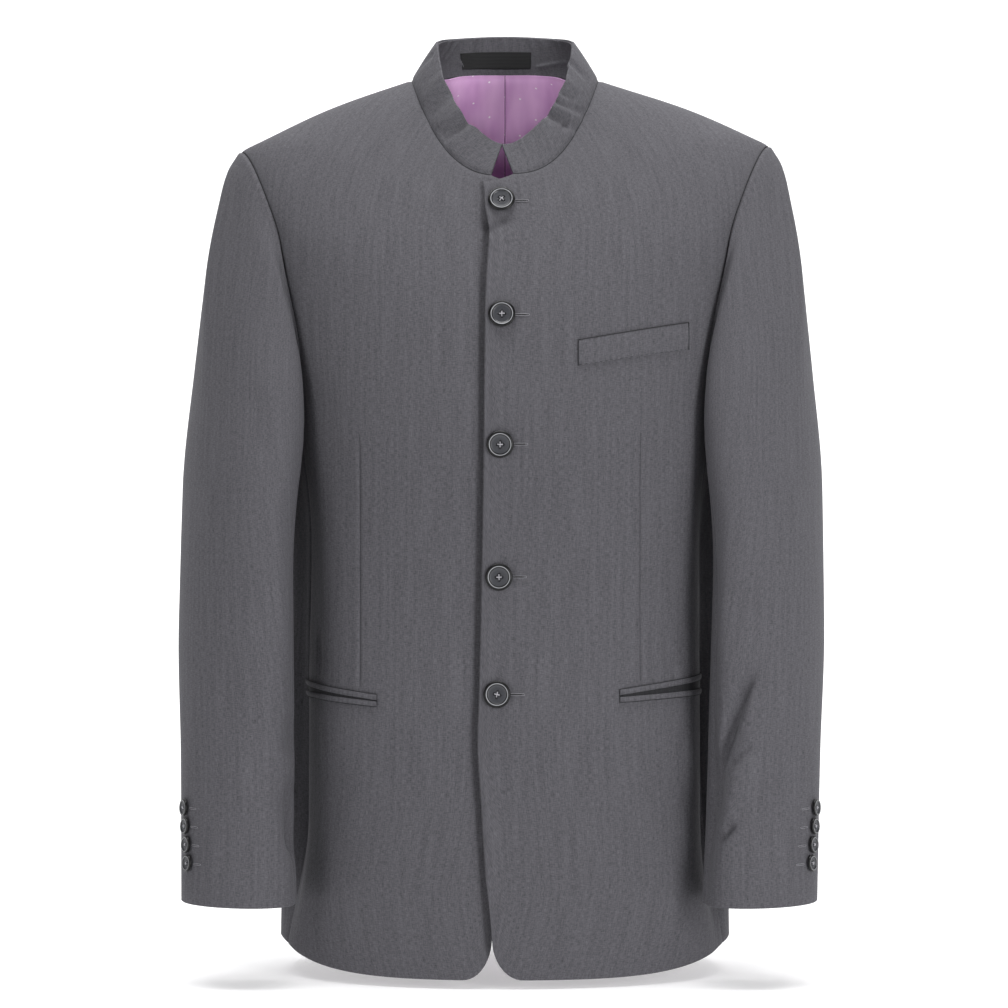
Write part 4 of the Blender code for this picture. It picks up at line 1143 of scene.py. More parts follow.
# %% Wrinkles and the collar's grid
COLLAR_HEIGHT = 0.042
COLLAR_LENGTH = 0.42
COLLAR_STEP = 0.0013
WRINKLE_FADE = 0.6
CORNER_DROP = 0.0042
CORNER_SPREAD = math.radians(22)
FRONT_RISE = 0.0030
RISE_ANGLE = math.radians(21)
RISE_SPREAD = math.radians(13)
RIGHT_FRONT_ANGLE = math.radians(270)
Wrinkle = namedtuple("Wrinkle", "angle1 height1 angle2 height2 width depth")
COLLAR_WRINKLES = (
    Wrinkle(331, 1.04, 319, 0.20, 0.0040, 0.0068),
    Wrinkle(324, 1.04, 314, 0.30, 0.0036, -0.0022),
    Wrinkle(315, 1.04, 306, 0.15, 0.0044, 0.0050),
    Wrinkle(307, 1.00, 299, 0.20, 0.0046, -0.0024),
    Wrinkle(34, 1.04, 44, 0.40, 0.0034, 0.0066),
    Wrinkle(38, 1.04, 49, 0.30, 0.0028, -0.0020),
    Wrinkle(41, 1.04, 57, 0.05, 0.0020, 0.0048),
    Wrinkle(46, 1.04, 53, 0.50, 0.0020, 0.0042),
    Wrinkle(51, 1.04, 60, 0.40, 0.0030, -0.0020),
    Wrinkle(42, 0.45, 50, 0.00, 0.0026, 0.0024),
    Wrinkle(62, 1.00, 70, 0.30, 0.0026, 0.0026),
    Wrinkle(286, 0.80, 279, 0.35, 0.0034, 0.0016),
    Wrinkle(150, 0.90, 152, 0.20, 0.0040, 0.0014),
    Wrinkle(205, 0.95, 208, 0.25, 0.0040, 0.0014),
)
FACING_WRINKLES = (
    Wrinkle(203, 1.00, 199, 0.60, 0.0016, 0.0036),
    Wrinkle(182, 1.00, 180, 0.62, 0.0016, 0.0030),
    Wrinkle(221, 0.86, 225, 0.50, 0.0018, 0.0036),
    Wrinkle(228, 1.00, 233, 0.40, 0.0026, 0.0034),
    Wrinkle(157, 0.22, 133, 0.42, 0.0018, 0.0042),
    Wrinkle(212, 0.38, 208, 0.18, 0.0018, 0.0026),
    Wrinkle(133, 1.00, 138, 0.40, 0.0022, 0.0040),
    Wrinkle(160, 1.00, 158, 0.66, 0.0018, 0.0022),
)


def wrinkled(angles, heights, wrinkles):
    """Depth of bells laid along short lines on the unrolled collar, in metres."""
    radius = BODY[-1].half_width
    x, z = angles * radius, heights * COLLAR_HEIGHT
    depth = np.zeros(np.broadcast(x, z).shape)
    for row in wrinkles:
        x1, z1 = math.radians(row.angle1) * radius, row.height1 * COLLAR_HEIGHT
        along_x = math.radians(row.angle2) * radius - x1
        along_z = row.height2 * COLLAR_HEIGHT - z1
        share, away = beside_line(x, z, x1, z1, along_x, along_z)
        depth += row.depth * (1.0 - WRINKLE_FADE * share) * np.exp(-(away / row.width)**2)
    return depth


def collar_grid(top):
    """Angles and heights of the collar, whose two ends slant towards each other."""
    heights = (spread(COLLAR_HEIGHT, COLLAR_STEP) * top)[:, None]
    gap = part_way(COLLAR_GAP_FOOT, COLLAR_GAP_TOP, heights)
    half_width = part_way(BODY[-1].half_width, COLLAR_TOP.half_width, heights)
    left_end = np.arctan((COLLAR_CENTRE_X + gap) / half_width)
    right_end = 2 * math.pi + np.arctan((COLLAR_CENTRE_X - gap) / half_width)
    angles = part_way(left_end, right_end, spread(COLLAR_LENGTH, COLLAR_STEP))
    return angles, heights + np.zeros_like(angles)


def rounded(points, angles, heights):
    """Bells of the angle lower the top edge at the sides of the neck and raise it at the front."""
    off_side = (np.mod(angles, math.pi) - math.pi / 2) / CORNER_SPREAD
    off_front = (np.abs(np.mod(angles + math.pi, 2 * math.pi) - math.pi) - RISE_ANGLE) / RISE_SPREAD
    change = FRONT_RISE * np.exp(-off_front**2) - CORNER_DROP * np.exp(-off_side**2)
    return points + (change * heights**2)[..., None] * UP


def collar_layer(top):
    """Angles, heights, points, normals and mitred directions of a layer, dipped under at the right end."""
    angles, heights = collar_grid(top)
    normals = normal_of(collar_point, angles, heights)
    points = rounded(collar_point(angles, heights), angles, heights)
    dip = underlap(points) * (angles > RIGHT_FRONT_ANGLE) * (1.0 - heights)
    points = points - normals * dip[..., None]
    through = blend_mitre(normals, edge_distance(points, "bottom"), neck_mitre(angles[0])[None])
    return angles, heights, points, normals, through


print("wrinkles:", len(COLLAR_WRINKLES), "in the collar and", len(FACING_WRINKLES), "in its facing")

# %% Collar and facing
FACING_TOP = 0.985
FACING_WRINKLE_SHARE = 0.5
angles, heights, points, normals, through = collar_layer(1.0)
points = points - normals * wrinkled(angles, heights, COLLAR_WRINKLES)[..., None]
points = sewn(points, through, ("bottom",))
neck_line = points[0], unit(through[0])
piece = shell("collar_cloth", points, through, COLLAR_CLOTH, (suiting,), ("left", "right", "top"))
sew(piece, ["collar"])

angles, heights, face, normals, through = collar_layer(FACING_TOP)
face = take_in(face, ("bottom",)) - through * (COLLAR_CLOTH + SEAM + FACING_CLOTH)
dents = FACING_WRINKLE_SHARE * wrinkled(angles, heights, FACING_WRINKLES)
dents = wrinkled(angles, heights, COLLAR_WRINKLES) + dents
face = face - normals * dents[..., None]
piece = shell("collar_facing_cloth", face, -through, FACING_CLOTH, (suiting_facing_painted_shade,),
              ("left", "right", "top"))
sew(piece, ["collar_facing"])

# %% Label
LABEL_MIDDLE_X = -0.0075
LABEL_HALF_WIDTH = 0.030
LABEL_HEIGHT = 0.018
LABEL_FOOT = 0.16
LABEL_TOP = 0.60
LABEL_ROW_STEP = 0.0012
LABEL_STEP = 0.0015
LABEL_BOW = 0.0009
LABEL_BOW_FADE = 0.012
heights = part_way(LABEL_FOOT, LABEL_TOP, spread(LABEL_HEIGHT, LABEL_ROW_STEP))[:, None]
middle = collar_point(math.pi / 2, heights)[..., 0]
across = (2.0 * spread(2 * LABEL_HALF_WIDTH, LABEL_STEP) - 1.0) * LABEL_HALF_WIDTH + LABEL_MIDDLE_X
angles = math.pi - np.arcsin(across[::-1] / middle)
heights = heights + np.zeros_like(angles)
normals = normal_of(collar_point, angles, heights)
depth = COLLAR_CLOTH + FACING_CLOTH + SEAM + TRIM_LIFT + LABEL_CLOTH
face = collar_point(angles, heights)
to_end = np.minimum(edge_distance(face, "left"), edge_distance(face, "right"))
bow = LABEL_BOW * ease(to_end / LABEL_BOW_FADE)
face = face - normals * (depth + bow)[..., None]
piece = shell("label_ribbon_plain", face, -normals, LABEL_CLOTH, (label_ribbon,),
              ("left", "right", "top", "bottom"))
sew(piece, ["label"])

# %% [markdown]
# ## Pockets
# The chest pocket is a slanted welt, and the hip pockets have two thin jets with a slit between them. Each
# strip is made from the front's own points, moved out, with a rounded top like a folded edge. A dark sheet
# of painted shade lies in the hip pockets' mouths, where the jets gape towards their outer ends.

# %% Welt and jets
Strip = namedtuple("Strip", "near_x near_low near_high far_x far_low far_high")
CHEST_WELT = Strip(0.0597, -0.2497, -0.2286, 0.1505, -0.2349, -0.2123)
JETS = {
    "upper_left": Strip(0.0990, -0.5180, -0.5132, 0.1790, -0.5072, -0.5024),
    "lower_left": Strip(0.0990, -0.5240, -0.5194, 0.1790, -0.5197, -0.5151),
    "upper_right": Strip(0.0990, -0.5224, -0.5176, 0.1740, -0.5130, -0.5082),
    "lower_right": Strip(0.0990, -0.5278, -0.5232, 0.1740, -0.5218, -0.5172),
}
POCKET_CENTRE_X = -0.0055
MOUTH_UNDER = 0.0006
MOUTH_SHADE_SHEET = 0.0003
MOUTH_SINK = 0.0001
Make = namedtuple("Make", "length height crown")
WELT_MAKE = Make(0.093, 0.0215, 0.55)
JET_MAKE = Make(0.073, 0.006, 0.75)
STRIP_STEP = 0.0016
WELT_ROW_STEP = 0.0008
LOW_STRIP = 0.014
LOW_STRIP_ROWS = 11


def front_at(x, z):
    """Points of the creased front and their normals, at x and z."""
    points, normals = on_body(*locate(x, z))
    return creased(points, normals, FRONT_CREASES, -1.0), normals


def strip_grid(strip, side, centre_x, make):
    """Front points between two slanted lines, with their normals and the shares across and up the strip."""
    share = spread(make.length, STRIP_STEP)
    if make.height > LOW_STRIP:
        rows = spread(make.height, WELT_ROW_STEP)[:, None]
    else:
        rows = np.linspace(0.0, 1.0, LOW_STRIP_ROWS)[:, None]
    x = centre_x + side * part_way(strip.near_x, strip.far_x, share)
    low = part_way(strip.near_low, strip.far_low, share)
    high = part_way(strip.near_high, strip.far_high, share)
    points, normals = front_at(x + np.zeros_like(rows), part_way(low, high, rows))
    return points, normals, share, rows


def add_strip(node, strip, side, centre_x, make):
    """Strip whose thickness is rounded off towards its long edges by one minus the fourth power."""
    points, normals, share, rows = strip_grid(strip, side, centre_x, make)
    rounding = 1.0 - make.crown * np.abs(2.0 * rows - 1.0)**4
    lift = TRIM_LIFT + TRIM_CLOTH * rounding + np.zeros_like(share)
    outer = points + normals * lift[..., None]
    through = normals * (lift - TRIM_LIFT)[..., None] / TRIM_CLOTH
    piece = shell(node + "_cloth", outer, through, TRIM_CLOTH, (suiting,), ())
    sew(piece, [node])


def add_mouth(word, side):
    """Thin dark sheet of painted shade between the two jets of a pocket, which shows where they gape."""
    upper, lower = JETS["upper_" + word], JETS["lower_" + word]
    mouth = Strip(lower.near_x, lower.near_high - MOUTH_UNDER, upper.near_low + MOUTH_UNDER,
                  lower.far_x, lower.far_high - MOUTH_UNDER, upper.far_low + MOUTH_UNDER)
    points, normals, _, _ = strip_grid(mouth, side, POCKET_CENTRE_X, JET_MAKE)
    outer = points + normals * (TRIM_LIFT - MOUTH_SINK)
    # This dark sheet is painted shade, not a piece of cloth.
    piece = shell("pocket_mouth_painted_shade_" + word, outer, normals, MOUTH_SHADE_SHEET, (pocket_mouth_painted_shade,), ())
    sew(piece, [])


add_strip("chest_welt", CHEST_WELT, 1, 0.0, WELT_MAKE)
for side, word in SIDES:
    for kind in ("upper_", "lower_"):
        add_strip("jet_" + kind + word, JETS[kind + word], side, POCKET_CENTRE_X, JET_MAKE)
    add_mouth(word, side)

# %% [markdown]
# ## Buttons, buttonholes and thread
# The buttons are moulded discs with a raised rim, a dished middle and four holes, sewn on with crossed
# thread. A button's face is one surface over radius and turn, with the holes as wells in it. Each
# buttonhole is a loop of thread on the cloth beside its button, round a dark tube of painted shade in its
# slit.

# %% Button surface
Turn = namedtuple("Turn", "place radius height")
BUTTON_PROFILE = (
    Turn(0.00, 0.00, 0.66),
    Turn(0.30, 0.45, 0.66),
    Turn(0.42, 0.62, 0.70),
    Turn(0.50, 0.70, 0.84),
    Turn(0.56, 0.79, 1.00),
    Turn(0.64, 0.89, 1.00),
    Turn(0.72, 0.97, 0.86),
    Turn(0.78, 1.00, 0.66),
    Turn(0.84, 0.95, 0.40),
    Turn(0.90, 0.70, 0.20),
    Turn(0.96, 0.35, 0.06),
    Turn(1.00, 0.00, 0.00),
)
BUTTON_RINGS = 56
BUTTON_TURNS = 56
BUTTON_SHARES = np.linspace(0.004, 0.996, BUTTON_RINGS)
BUTTON_FACE = 0.5
HOLE_RADIUS = 0.105
HOLE_REACH = 0.150 * math.sqrt(2)
HOLE_DEPTH = 0.42
HOLE_WALL_START = 0.7
HOLE_WALL = 0.6


def upright(outward):
    """Two directions across a button: one level, one upwards, square to its axis."""
    level = unit(np.cross(UP, outward))
    return level, np.cross(outward, level)


def button_points(place, outward, diameter, height, turned):
    """Profile turned round an axis, with four wells of the hole's radius sunk into its face."""
    share = BUTTON_SHARES[:, None]
    turn = np.linspace(0.0, 2 * math.pi, BUTTON_TURNS, endpoint=False) + turned
    radius = between(BUTTON_PROFILE, "radius", share)
    rise = between(BUTTON_PROFILE, "height", share)
    x, y = radius * np.cos(turn), radius * np.sin(turn)
    well = np.zeros_like(x)
    for quarter in range(4):
        corner = turned + math.pi / 4 + quarter * math.pi / 2
        away = np.hypot(x - HOLE_REACH * math.cos(corner), y - HOLE_REACH * math.sin(corner))
        well = np.maximum(well, 1.0 - ease((away / HOLE_RADIUS - HOLE_WALL_START) / HOLE_WALL))
    rise = rise - HOLE_DEPTH * well * (share < BUTTON_FACE)
    level, up = upright(outward)
    half = diameter / 2
    points = place + half * (x[..., None] * level + y[..., None] * up)
    return points + outward * (BUTTON_LIFT + height * rise[..., None])


print("points of a button:", BUTTON_RINGS * BUTTON_TURNS)

# %% Thread tubes
TUBE_SIDES = 6
LOOP_SQUARE = 0.35
LOOP_ROUND = 0.6


def tube(path, normals, radius, closed=False):
    """Circle carried along a path, in the plane of its normal and its sideways direction."""
    if closed:
        tangent = np.roll(path, -1, axis=0) - np.roll(path, 1, axis=0)
    else:
        tangent = np.gradient(path, axis=0)
    sideways = unit(np.cross(unit(tangent), normals))
    turn = np.linspace(0.0, 2 * math.pi, TUBE_SIDES, endpoint=False)[None, :, None]
    ring = np.cos(turn) * sideways[:, None] + np.sin(turn) * normals[:, None]
    points = path[:, None] + radius * ring
    if not closed:
        ends = path[[0, -1], None].repeat(TUBE_SIDES, axis=1)
        points = np.concatenate([ends[:1], points, ends[1:]])
        return points.reshape(-1, 3), grid_quads(len(path) + 2, TUBE_SIDES, True)
    quads = grid_quads(len(path) + 1, TUBE_SIDES, True)
    return points.reshape(-1, 3), quads % (len(path) * TUBE_SIDES)


def join(parts):
    """Points and faces of several tubes as one."""
    points, quads, count = [], [], 0
    for part_points, part_quads in parts:
        points.append(part_points)
        quads.append(part_quads + count)
        count += len(part_points)
    return np.concatenate(points), np.concatenate(quads)


def add_thread(name, parts, material):
    """Thread piece made of tubes, with its faces turned outwards."""
    points, quads = join(parts)
    piece = add_mesh(name, points, quads[:, ::-1], points[:, (0, 2)], (material,))
    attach(piece, "root")


def loop_path(surface, start, length, half_gap, lift, count):
    """Long oval on a surface of (along, up): a slit's two sides joined by half circles."""
    turn = np.linspace(0.0, 2 * math.pi, count, endpoint=False)
    cosine, sine = np.cos(turn), np.sin(turn)
    along = start + length / 2 + (length / 2) * np.sign(cosine) * np.abs(cosine)**LOOP_SQUARE
    up = half_gap * np.sign(sine) * np.abs(sine)**LOOP_ROUND
    points, normals = surface(along, up)
    return points + normals * lift, normals


print("sides of a thread:", TUBE_SIDES)

# %% Front buttons with thread and buttonholes
Button = namedtuple("Button", "x z turned")
FRONT_BUTTONS = (
    Button(-0.0029, -0.112, 0.10),
    Button(-0.0026, -0.208, 0.79),
    Button(-0.0040, -0.3135, 0.75),
    Button(-0.0049, -0.4213, 0.82),
    Button(-0.0065, -0.5167, 0.55),
)
FRONT_BUTTON_DIAMETER = 0.0222
FRONT_BUTTON_HEIGHT = 0.0034
FRONT_BUTTON_LIFT = 0.3
THREAD_RADIUS = 0.00045
THREAD_FOOT = 0.60
THREAD_RISE = 0.24
THREAD_CROSSING = 0.0003
THREAD_STEPS = 11
HOLE_THREAD_RADIUS = 0.00026
BUTTONHOLE_START = 0.0105
BUTTONHOLE_LENGTH = 0.0120
BUTTONHOLE_HALF_GAP = 0.00080
BUTTONHOLE_LIFT = 0.0005
BUTTONHOLE_STEPS = 40
SLIT_RADIUS = 0.00050
SLIT_LIFT = 0.0003
SLIT_SHARES = np.linspace(-0.1, 0.80, 12)
thread_parts, hole_parts, slit_shade_parts = [], [], []


def button_thread(place, outward, diameter, height, turned):
    """Two crossed threads, each an arc from one hole over the middle to the hole across from it."""
    parts = []
    level, up = upright(outward)
    for quarter in (0, 1):
        corner = turned + math.pi / 4 + quarter * math.pi / 2
        direction = math.cos(corner) * level + math.sin(corner) * up
        share = np.linspace(-1.0, 1.0, THREAD_STEPS)[:, None]
        reach = HOLE_REACH * diameter / 2
        arc = THREAD_FOOT + THREAD_RISE * (1.0 - share**4)
        rise = BUTTON_LIFT + height * arc + THREAD_CROSSING * quarter
        path = place + direction * share * reach + outward * rise
        parts.append(tube(path, np.repeat(outward[None], len(path), axis=0), THREAD_RADIUS))
    return parts


def add_button(name, node, place, outward, diameter, height, turned):
    """Turned button as a piece of its own."""
    points = button_points(place, outward, diameter, height, turned)
    quads = grid_quads(BUTTON_RINGS, BUTTON_TURNS, True)
    front = np.arange(BUTTON_TURNS)
    ends = []
    for ring in (front[::-1], front + (BUTTON_RINGS - 1) * BUTTON_TURNS):
        half = len(ring) // 2
        left, right = ring[:half], ring[:half - 1:-1]
        ends.append(np.stack([left[:-1], left[1:], right[1:], right[:-1]], axis=-1))
    quads = np.concatenate([quads, *ends])
    flat = points.reshape(-1, 3)
    share = BUTTON_SHARES.repeat(BUTTON_TURNS)
    radius = between(BUTTON_PROFILE, "radius", share)
    piece = add_mesh(name, flat, quads[:, ::-1], np.stack([radius, share], axis=-1), (button_horn,))
    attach(piece, "root")
    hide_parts(node)


for number, button in enumerate(FRONT_BUTTONS, start=1):
    place, outward = on_body(*locate(np.array(button.x), np.array(button.z)))
    place = place + outward * EDGE_LIFT * FRONT_BUTTON_LIFT
    shape = place, outward, FRONT_BUTTON_DIAMETER, FRONT_BUTTON_HEIGHT, button.turned
    add_button(f"front_button_{number}", f"button_front_{number}", *shape)
    thread_parts += button_thread(*shape)

    def on_front(along, up, button=button):
        """Front points and normals at a way along and up from this button."""
        return on_body(*locate(button.x + along, button.z + up))

    path, normals = loop_path(on_front, BUTTONHOLE_START, BUTTONHOLE_LENGTH, BUTTONHOLE_HALF_GAP,
                              BUTTONHOLE_LIFT, BUTTONHOLE_STEPS)
    hole_parts.append(tube(path, normals, HOLE_THREAD_RADIUS, closed=True))
    # Dark tube along the slit: painted shade of its opening.
    along = BUTTONHOLE_START + BUTTONHOLE_LENGTH * SLIT_SHARES
    points, normals = on_front(along, np.zeros_like(along))
    slit_shade_parts.append(tube(points + normals * SLIT_LIFT, normals, SLIT_RADIUS))
print("front buttons:", len(FRONT_BUTTONS))

# %% Cuff buttons with thread and buttonholes
CUFF_BUTTON_DIAMETER = 0.0142
CUFF_BUTTON_HEIGHT = 0.0030
CUFF_BUTTON_COUNT = 4
CUFF_BUTTON_TOP_Z = -0.6115
CUFF_BUTTON_PITCH = 0.0148
CUFF_BUTTON_AROUND = math.radians(13)
CUFF_BUTTON_TURN = math.radians(3)
CUFF_HOLE_START = {1: 0.0080, -1: 0.0058}
CUFF_HOLE_LENGTH = 0.0085
CUFF_HOLE_RADIUS = 0.00022
CUFF_HOLE_HALF_GAP = 0.0006
CUFF_HOLE_LIFT = 0.0003
CUFF_HOLE_STEPS = 28
FIRST_CUFF_TURN = 0.4
NEXT_CUFF_TURN = 0.5
CUFF_RADIUS = 0.0455
LOWER_SLEEVE = 0.5
LOWER_SLEEVE_SAMPLES = 400


def on_sleeve(around, height, side):
    """Point and normal of a sleeve at a turn and a height, which is looked up on a fine line of runs."""
    runs = np.linspace(LOWER_SLEEVE, 1.0, LOWER_SLEEVE_SAMPLES)
    heights = sleeve_point(around, runs, side)[:, 2]
    run = np.interp(-height, -heights, runs)

    def surface(turn, place):
        """Sleeve ring of this side alone."""
        return sleeve_point(turn, place, side)

    return surface(around, run), side * normal_of(surface, around, run)


for side, word in SIDES:
    for number in range(CUFF_BUTTON_COUNT):
        around = CUFF_BUTTON_AROUND + CUFF_BUTTON_TURN * number
        height = CUFF_BUTTON_TOP_Z - CUFF_BUTTON_PITCH * number
        place, outward = on_sleeve(around, height, side)
        turned = FIRST_CUFF_TURN + NEXT_CUFF_TURN * number
        shape = place, outward, CUFF_BUTTON_DIAMETER, CUFF_BUTTON_HEIGHT, turned
        add_button(f"cuff_button_{word}_{number + 1}", f"button_cuff_{word}_{number + 1}", *shape)
        thread_parts += button_thread(*shape)

        def on_cuff(along, up, around=around, height=height, side=side):
            """Cuff points and normals at a way round and up from this button."""
            pairs = [on_sleeve(around + a / CUFF_RADIUS, height + u, side) for a, u in zip(along, up)]
            return np.array([pair[0] for pair in pairs]), np.array([pair[1] for pair in pairs])

        path, normals = loop_path(on_cuff, CUFF_HOLE_START[side], CUFF_HOLE_LENGTH, CUFF_HOLE_HALF_GAP,
                                  CUFF_HOLE_LIFT, CUFF_HOLE_STEPS)
        hole_parts.append(tube(path, normals, CUFF_HOLE_RADIUS, closed=True))
add_thread("button_threads", thread_parts, thread)
add_thread("buttonhole_threads", hole_parts, hole_thread)
add_thread("buttonhole_slits_painted_shade", slit_shade_parts, dark_thread_and_painted_shade)
print("thread tubes:", len(thread_parts), "buttonholes:", len(hole_parts))

# %% [markdown]
# ## Stitches and painted seam shade
# A sewn edge shows as a thin dark line of shade, because two folds of cloth meet there. Dark tubes of a
# fraction of a millimetre, half sunk in the cloth, paint this shade round the armholes and the neck, along
# the darts and the pockets and down the middle of the back. Short stitches of dark thread hold the foot of
# the chest welt.

# %% Stitches and painted seam shade
STITCH_LENGTH = 0.0022
STITCH_PITCH = 0.0042
STITCH_INSET = 0.0007
STITCH_RADIUS = 0.00028
STITCH_LIFT = TRIM_LIFT + TRIM_CLOTH * 0.45
STITCH_STEPS = 5
SHADE_LINE_LIFT = TRIM_LIFT + 0.0008
END_SHADE_LINE_LIFT = SHADE_LINE_LIFT + 0.0005
CORD_STEPS = 40
SHADE_LINE_RADIUS = 0.00038
JET_SHADE_LINE_RADIUS = 0.00024
DART_SHADE_LINE_RADIUS = 0.00018
NECK_SHADE_LINE_RADIUS = 0.00034
ARM_SHADE_LINE_RADIUS = 0.00055
BACK_SHADE_LINE_RADIUS = 0.00040


def cord(x1, z1, x2, z2, lift, radius, count=CORD_STEPS):
    """Tube along a straight line on the front, lifted off the cloth: a stitch, or painted shade along a
    sewn edge.
    """
    share = np.linspace(0.0, 1.0, count)
    points, normals = front_at(part_way(x1, x2, share), part_way(z1, z2, share))
    return tube(points + normals * lift, normals, radius)


def stitch_line(x1, z1, x2, z2):
    """Short tubes laid end to end with gaps along a straight line on the left front."""
    length = math.hypot(x2 - x1, z2 - z1)
    parts = []
    for start in np.arange(0.0, length - STITCH_LENGTH, STITCH_PITCH):
        first, last = start / length, (start + STITCH_LENGTH) / length
        parts.append(cord(part_way(x1, x2, first), part_way(z1, z2, first),
                          part_way(x1, x2, last), part_way(z1, z2, last),
                          STITCH_LIFT, STITCH_RADIUS, STITCH_STEPS))
    return parts


welt = CHEST_WELT
lines = stitch_line(welt.near_x + STITCH_INSET, welt.near_low + STITCH_INSET,
                    welt.far_x - STITCH_INSET, welt.far_low + STITCH_INSET)
# Dark tubes round the welt's ends and top: painted shade of its edges and opening.
lines += [
    cord(welt.near_x, welt.near_low, welt.near_x, welt.near_high, SHADE_LINE_LIFT, SHADE_LINE_RADIUS),
    cord(welt.near_x, welt.near_high, welt.far_x, welt.far_high, SHADE_LINE_LIFT, SHADE_LINE_RADIUS),
    cord(welt.far_x, welt.far_high, welt.far_x, welt.far_low, END_SHADE_LINE_LIFT, SHADE_LINE_RADIUS),
]
# Dark tubes along the jets, darts and armholes, then the neck and back seams: painted seam shade.
for side, word in SIDES:
    upper, lower = JETS["upper_" + word], JETS["lower_" + word]
    near, far_upper, far_lower = (
        POCKET_CENTRE_X + side * x for x in (upper.near_x, upper.far_x, lower.far_x))
    lines += [
        cord(near, upper.near_high, far_upper, upper.far_high, SHADE_LINE_LIFT, JET_SHADE_LINE_RADIUS),
        cord(near, lower.near_low, far_lower, lower.far_low, SHADE_LINE_LIFT, JET_SHADE_LINE_RADIUS),
        cord(near, lower.near_low, near, upper.near_high, SHADE_LINE_LIFT, JET_SHADE_LINE_RADIUS),
    ]
    lines.append(tube(*dart_lines[side], DART_SHADE_LINE_RADIUS))
    lines.append(tube(*arm_lines[side], ARM_SHADE_LINE_RADIUS))
lines.append(tube(*neck_line, NECK_SHADE_LINE_RADIUS))
back_path = (back_edges[1] + back_edges[-1]) / 2
back_normals = np.broadcast_to(np.array([0.0, 1.0, 0.0]), back_path.shape)
lines.append(tube(back_path, back_normals, BACK_SHADE_LINE_RADIUS))
add_thread("stitches_and_painted_seam_shade", lines, dark_thread_and_painted_shade)
print("stitches and seam lines:", len(lines))
print("back seam:", round(float(run_length(back_path, 0)[-1]), 3), "m")

# %% Painted shade along the seam down the middle of the lining
LINING_SEAM_RADIUS = 0.00026
seam_path = (lining_edges[1] + lining_edges[-1]) / 2
seam_normals = np.broadcast_to(np.array([0.0, -1.0, 0.0]), seam_path.shape)
# A thin violet tube along the seam: painted shade of its fold.
seam_shade_tube = tube(seam_path + LINING_SEAM_RADIUS * seam_normals, seam_normals, LINING_SEAM_RADIUS)
add_thread("lining_centre_seam_painted_shade", [seam_shade_tube], violet_painted_seam_shade)
print("lining seam:", round(float(run_length(seam_path, 0)[-1]), 3), "m")

# %% [markdown]
# ## Studio
# The jacket is photographed from straight ahead on white. A pale paper sweep rises behind it. Soft lights
# stand in front and above, stronger on the picture's right, one more lights the paper, and a narrow spot
# reaches the lining through the neck. The hem stands just above the floor, which gives its soft shadow.
# The paper glows a little, so that this shadow stays pale.

# %% Floor and paper sweep
FLOOR_GAP = 0.008
SWEEP_RADIUS = 0.6
SWEEP_BACK = 2.2
SWEEP_FRONT = -4.0
SWEEP_TOP = 3.0
SWEEP_HALF_WIDTH = 5.0
SWEEP_STEPS = 17
PAPER_GLOW = 0.42


def sweep_profile():
    """Depth and height of the studio sweep: flat floor, quarter circle, upright wall."""
    floor_z = BODY[0].front_z - FLOOR_GAP
    turn = np.linspace(0.0, math.pi / 2, SWEEP_STEPS)
    bend = SWEEP_BACK + SWEEP_RADIUS * np.sin(turn)
    depth = np.concatenate([[SWEEP_FRONT], bend, [SWEEP_BACK + SWEEP_RADIUS]])
    height = np.concatenate([[0.0], SWEEP_RADIUS * (1.0 - np.cos(turn)), [SWEEP_TOP]])
    return depth, height + floor_z


sweep_paper, tree, paper = new_finish("studio_paper_white", {
    "Base Color": linear("#cfcfd0"), "Roughness": 0.9,
    "Emission Color": linear("#ffffff"), "Emission Strength": PAPER_GLOW})
# The paper's back is clear, so the jacket can also be looked at from behind the wall.
behind = add_node(tree, "NewGeometry", {}).outputs["Backfacing"]
clear = add_node(tree, "BsdfTransparent", {})
one_sided = add_node(tree, "MixShader", {0: behind, 1: paper, 2: clear})
feed(tree, tree.nodes["Material Output"], {"Surface": one_sided})
depth, height = sweep_profile()
sides = np.array([-SWEEP_HALF_WIDTH, SWEEP_HALF_WIDTH])
sweep = np.stack(np.broadcast_arrays(sides[None, :], depth[:, None], height[:, None]), axis=-1)
floor = add_mesh("studio_floor", sweep.reshape(-1, 3), grid_quads(len(depth), 2, False),
                 sweep.reshape(-1, 3)[:, :2], (sweep_paper,))
print("floor at", round(float(height[0]), 3), "m")

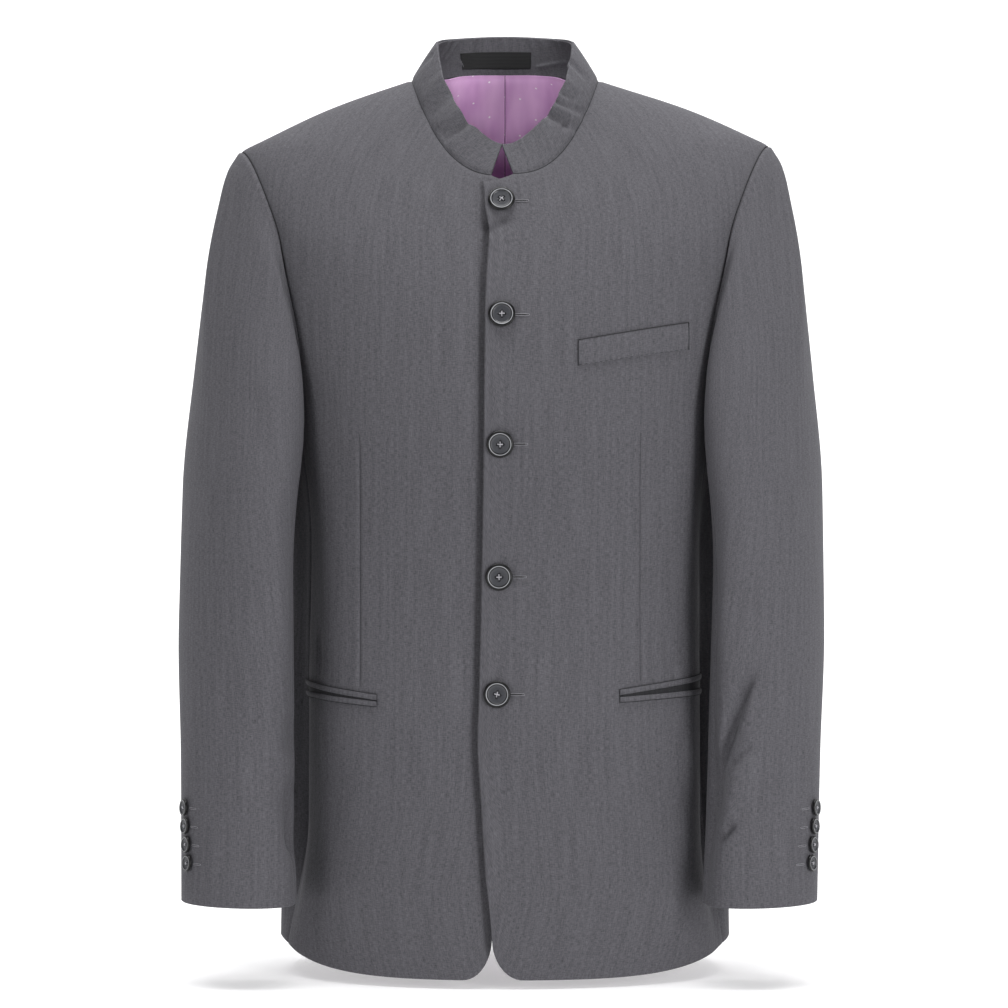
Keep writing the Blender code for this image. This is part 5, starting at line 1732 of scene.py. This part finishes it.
# %% Lights
Light = namedtuple("Light", "name place target energy")
Panel = namedtuple("Panel", "light width height")
PANELS = (
    Panel(Light("key_front_right", (2.0, -2.4, -0.1), (0.0, 0.0, -0.42), 61.0), 1.0, 1.8),
    Panel(Light("fill_front_left", (-2.0, -2.4, -0.1), (0.0, 0.0, -0.42), 26.0), 1.0, 2.0),
    Panel(Light("top_soft", (0.0, -0.3, 2.6), (0.0, 0.0, -0.2), 112.0), 3.0, 1.0),
    Panel(Light("sweep_light", (0.0, 0.9, 1.6), (0.0, 2.2, -0.4), 60.0), 3.6, 0.8),
)
SNOOT = Light("neck_snoot", (0.0, -2.3, 0.30), (0.0, 0.06, 0.006), 88.0)
SNOOT_CONE = math.radians(2.7)
SNOOT_BLEND = 0.4
SNOOT_RADIUS = 0.02
AIR_STRENGTH = 0.10
NEARLY_UP = np.array([0.0, 1e-4, 1.0])


def aim(source, target):
    """Turn an object's local minus Z towards a point, with its local Y as nearly up as can be."""
    back = unit(np.array(source) - np.array(target))
    level = unit(np.cross(NEARLY_UP, back))
    up = np.cross(back, level)
    return (math.atan2(up[2], back[2]), math.asin(-level[2]), math.atan2(level[1], level[0]))


def add_lamp(light, kind, **settings):
    """Lamp of a kind at its place, turned to its target, with further settings of its data."""
    data = bpy.data.lights.new(light.name, kind)
    data.energy = light.energy
    for name, setting in settings.items():
        setattr(data, name, setting)
    lamp = bpy.data.objects.new(light.name, data)
    lamp.location = light.place
    lamp.rotation_euler = aim(light.place, light.target)
    bpy.context.scene.collection.objects.link(lamp)


for panel in PANELS:
    add_lamp(panel.light, "AREA", shape="RECTANGLE", size=panel.width, size_y=panel.height)
add_lamp(SNOOT, "SPOT", spot_size=SNOOT_CONE, spot_blend=SNOOT_BLEND, shadow_soft_size=SNOOT_RADIUS)
world = bpy.data.worlds.new("studio_air")
world.use_nodes = True
air = world.node_tree
feed(air, air.nodes["Background"], {"Color": linear("#ffffff"), "Strength": AIR_STRENGTH})
bpy.context.scene.world = world
bpy.context.scene.view_settings.view_transform = "Standard"
print("lights:", len(PANELS) + 1)

# %% Camera
SENSOR = 36.0
PIXEL = 0.00085
PICTURE = 1008
CENTRE_COLUMN = 505
camera_data = bpy.data.cameras.new("front_camera")
camera_data.sensor_width = SENSOR
camera_data.lens = SENSOR * CAMERA_DISTANCE / (PICTURE * PIXEL)
camera = bpy.data.objects.new("front_camera", camera_data)
camera.location = ((PICTURE / 2 - CENTRE_COLUMN) * PIXEL, -CAMERA_DISTANCE, CAMERA_HEIGHT)
camera.rotation_euler = (math.pi / 2, 0.0, 0.0)
bpy.context.scene.collection.objects.link(camera)
bpy.context.scene.camera = camera
print("lens:", round(camera_data.lens, 1), "mm")
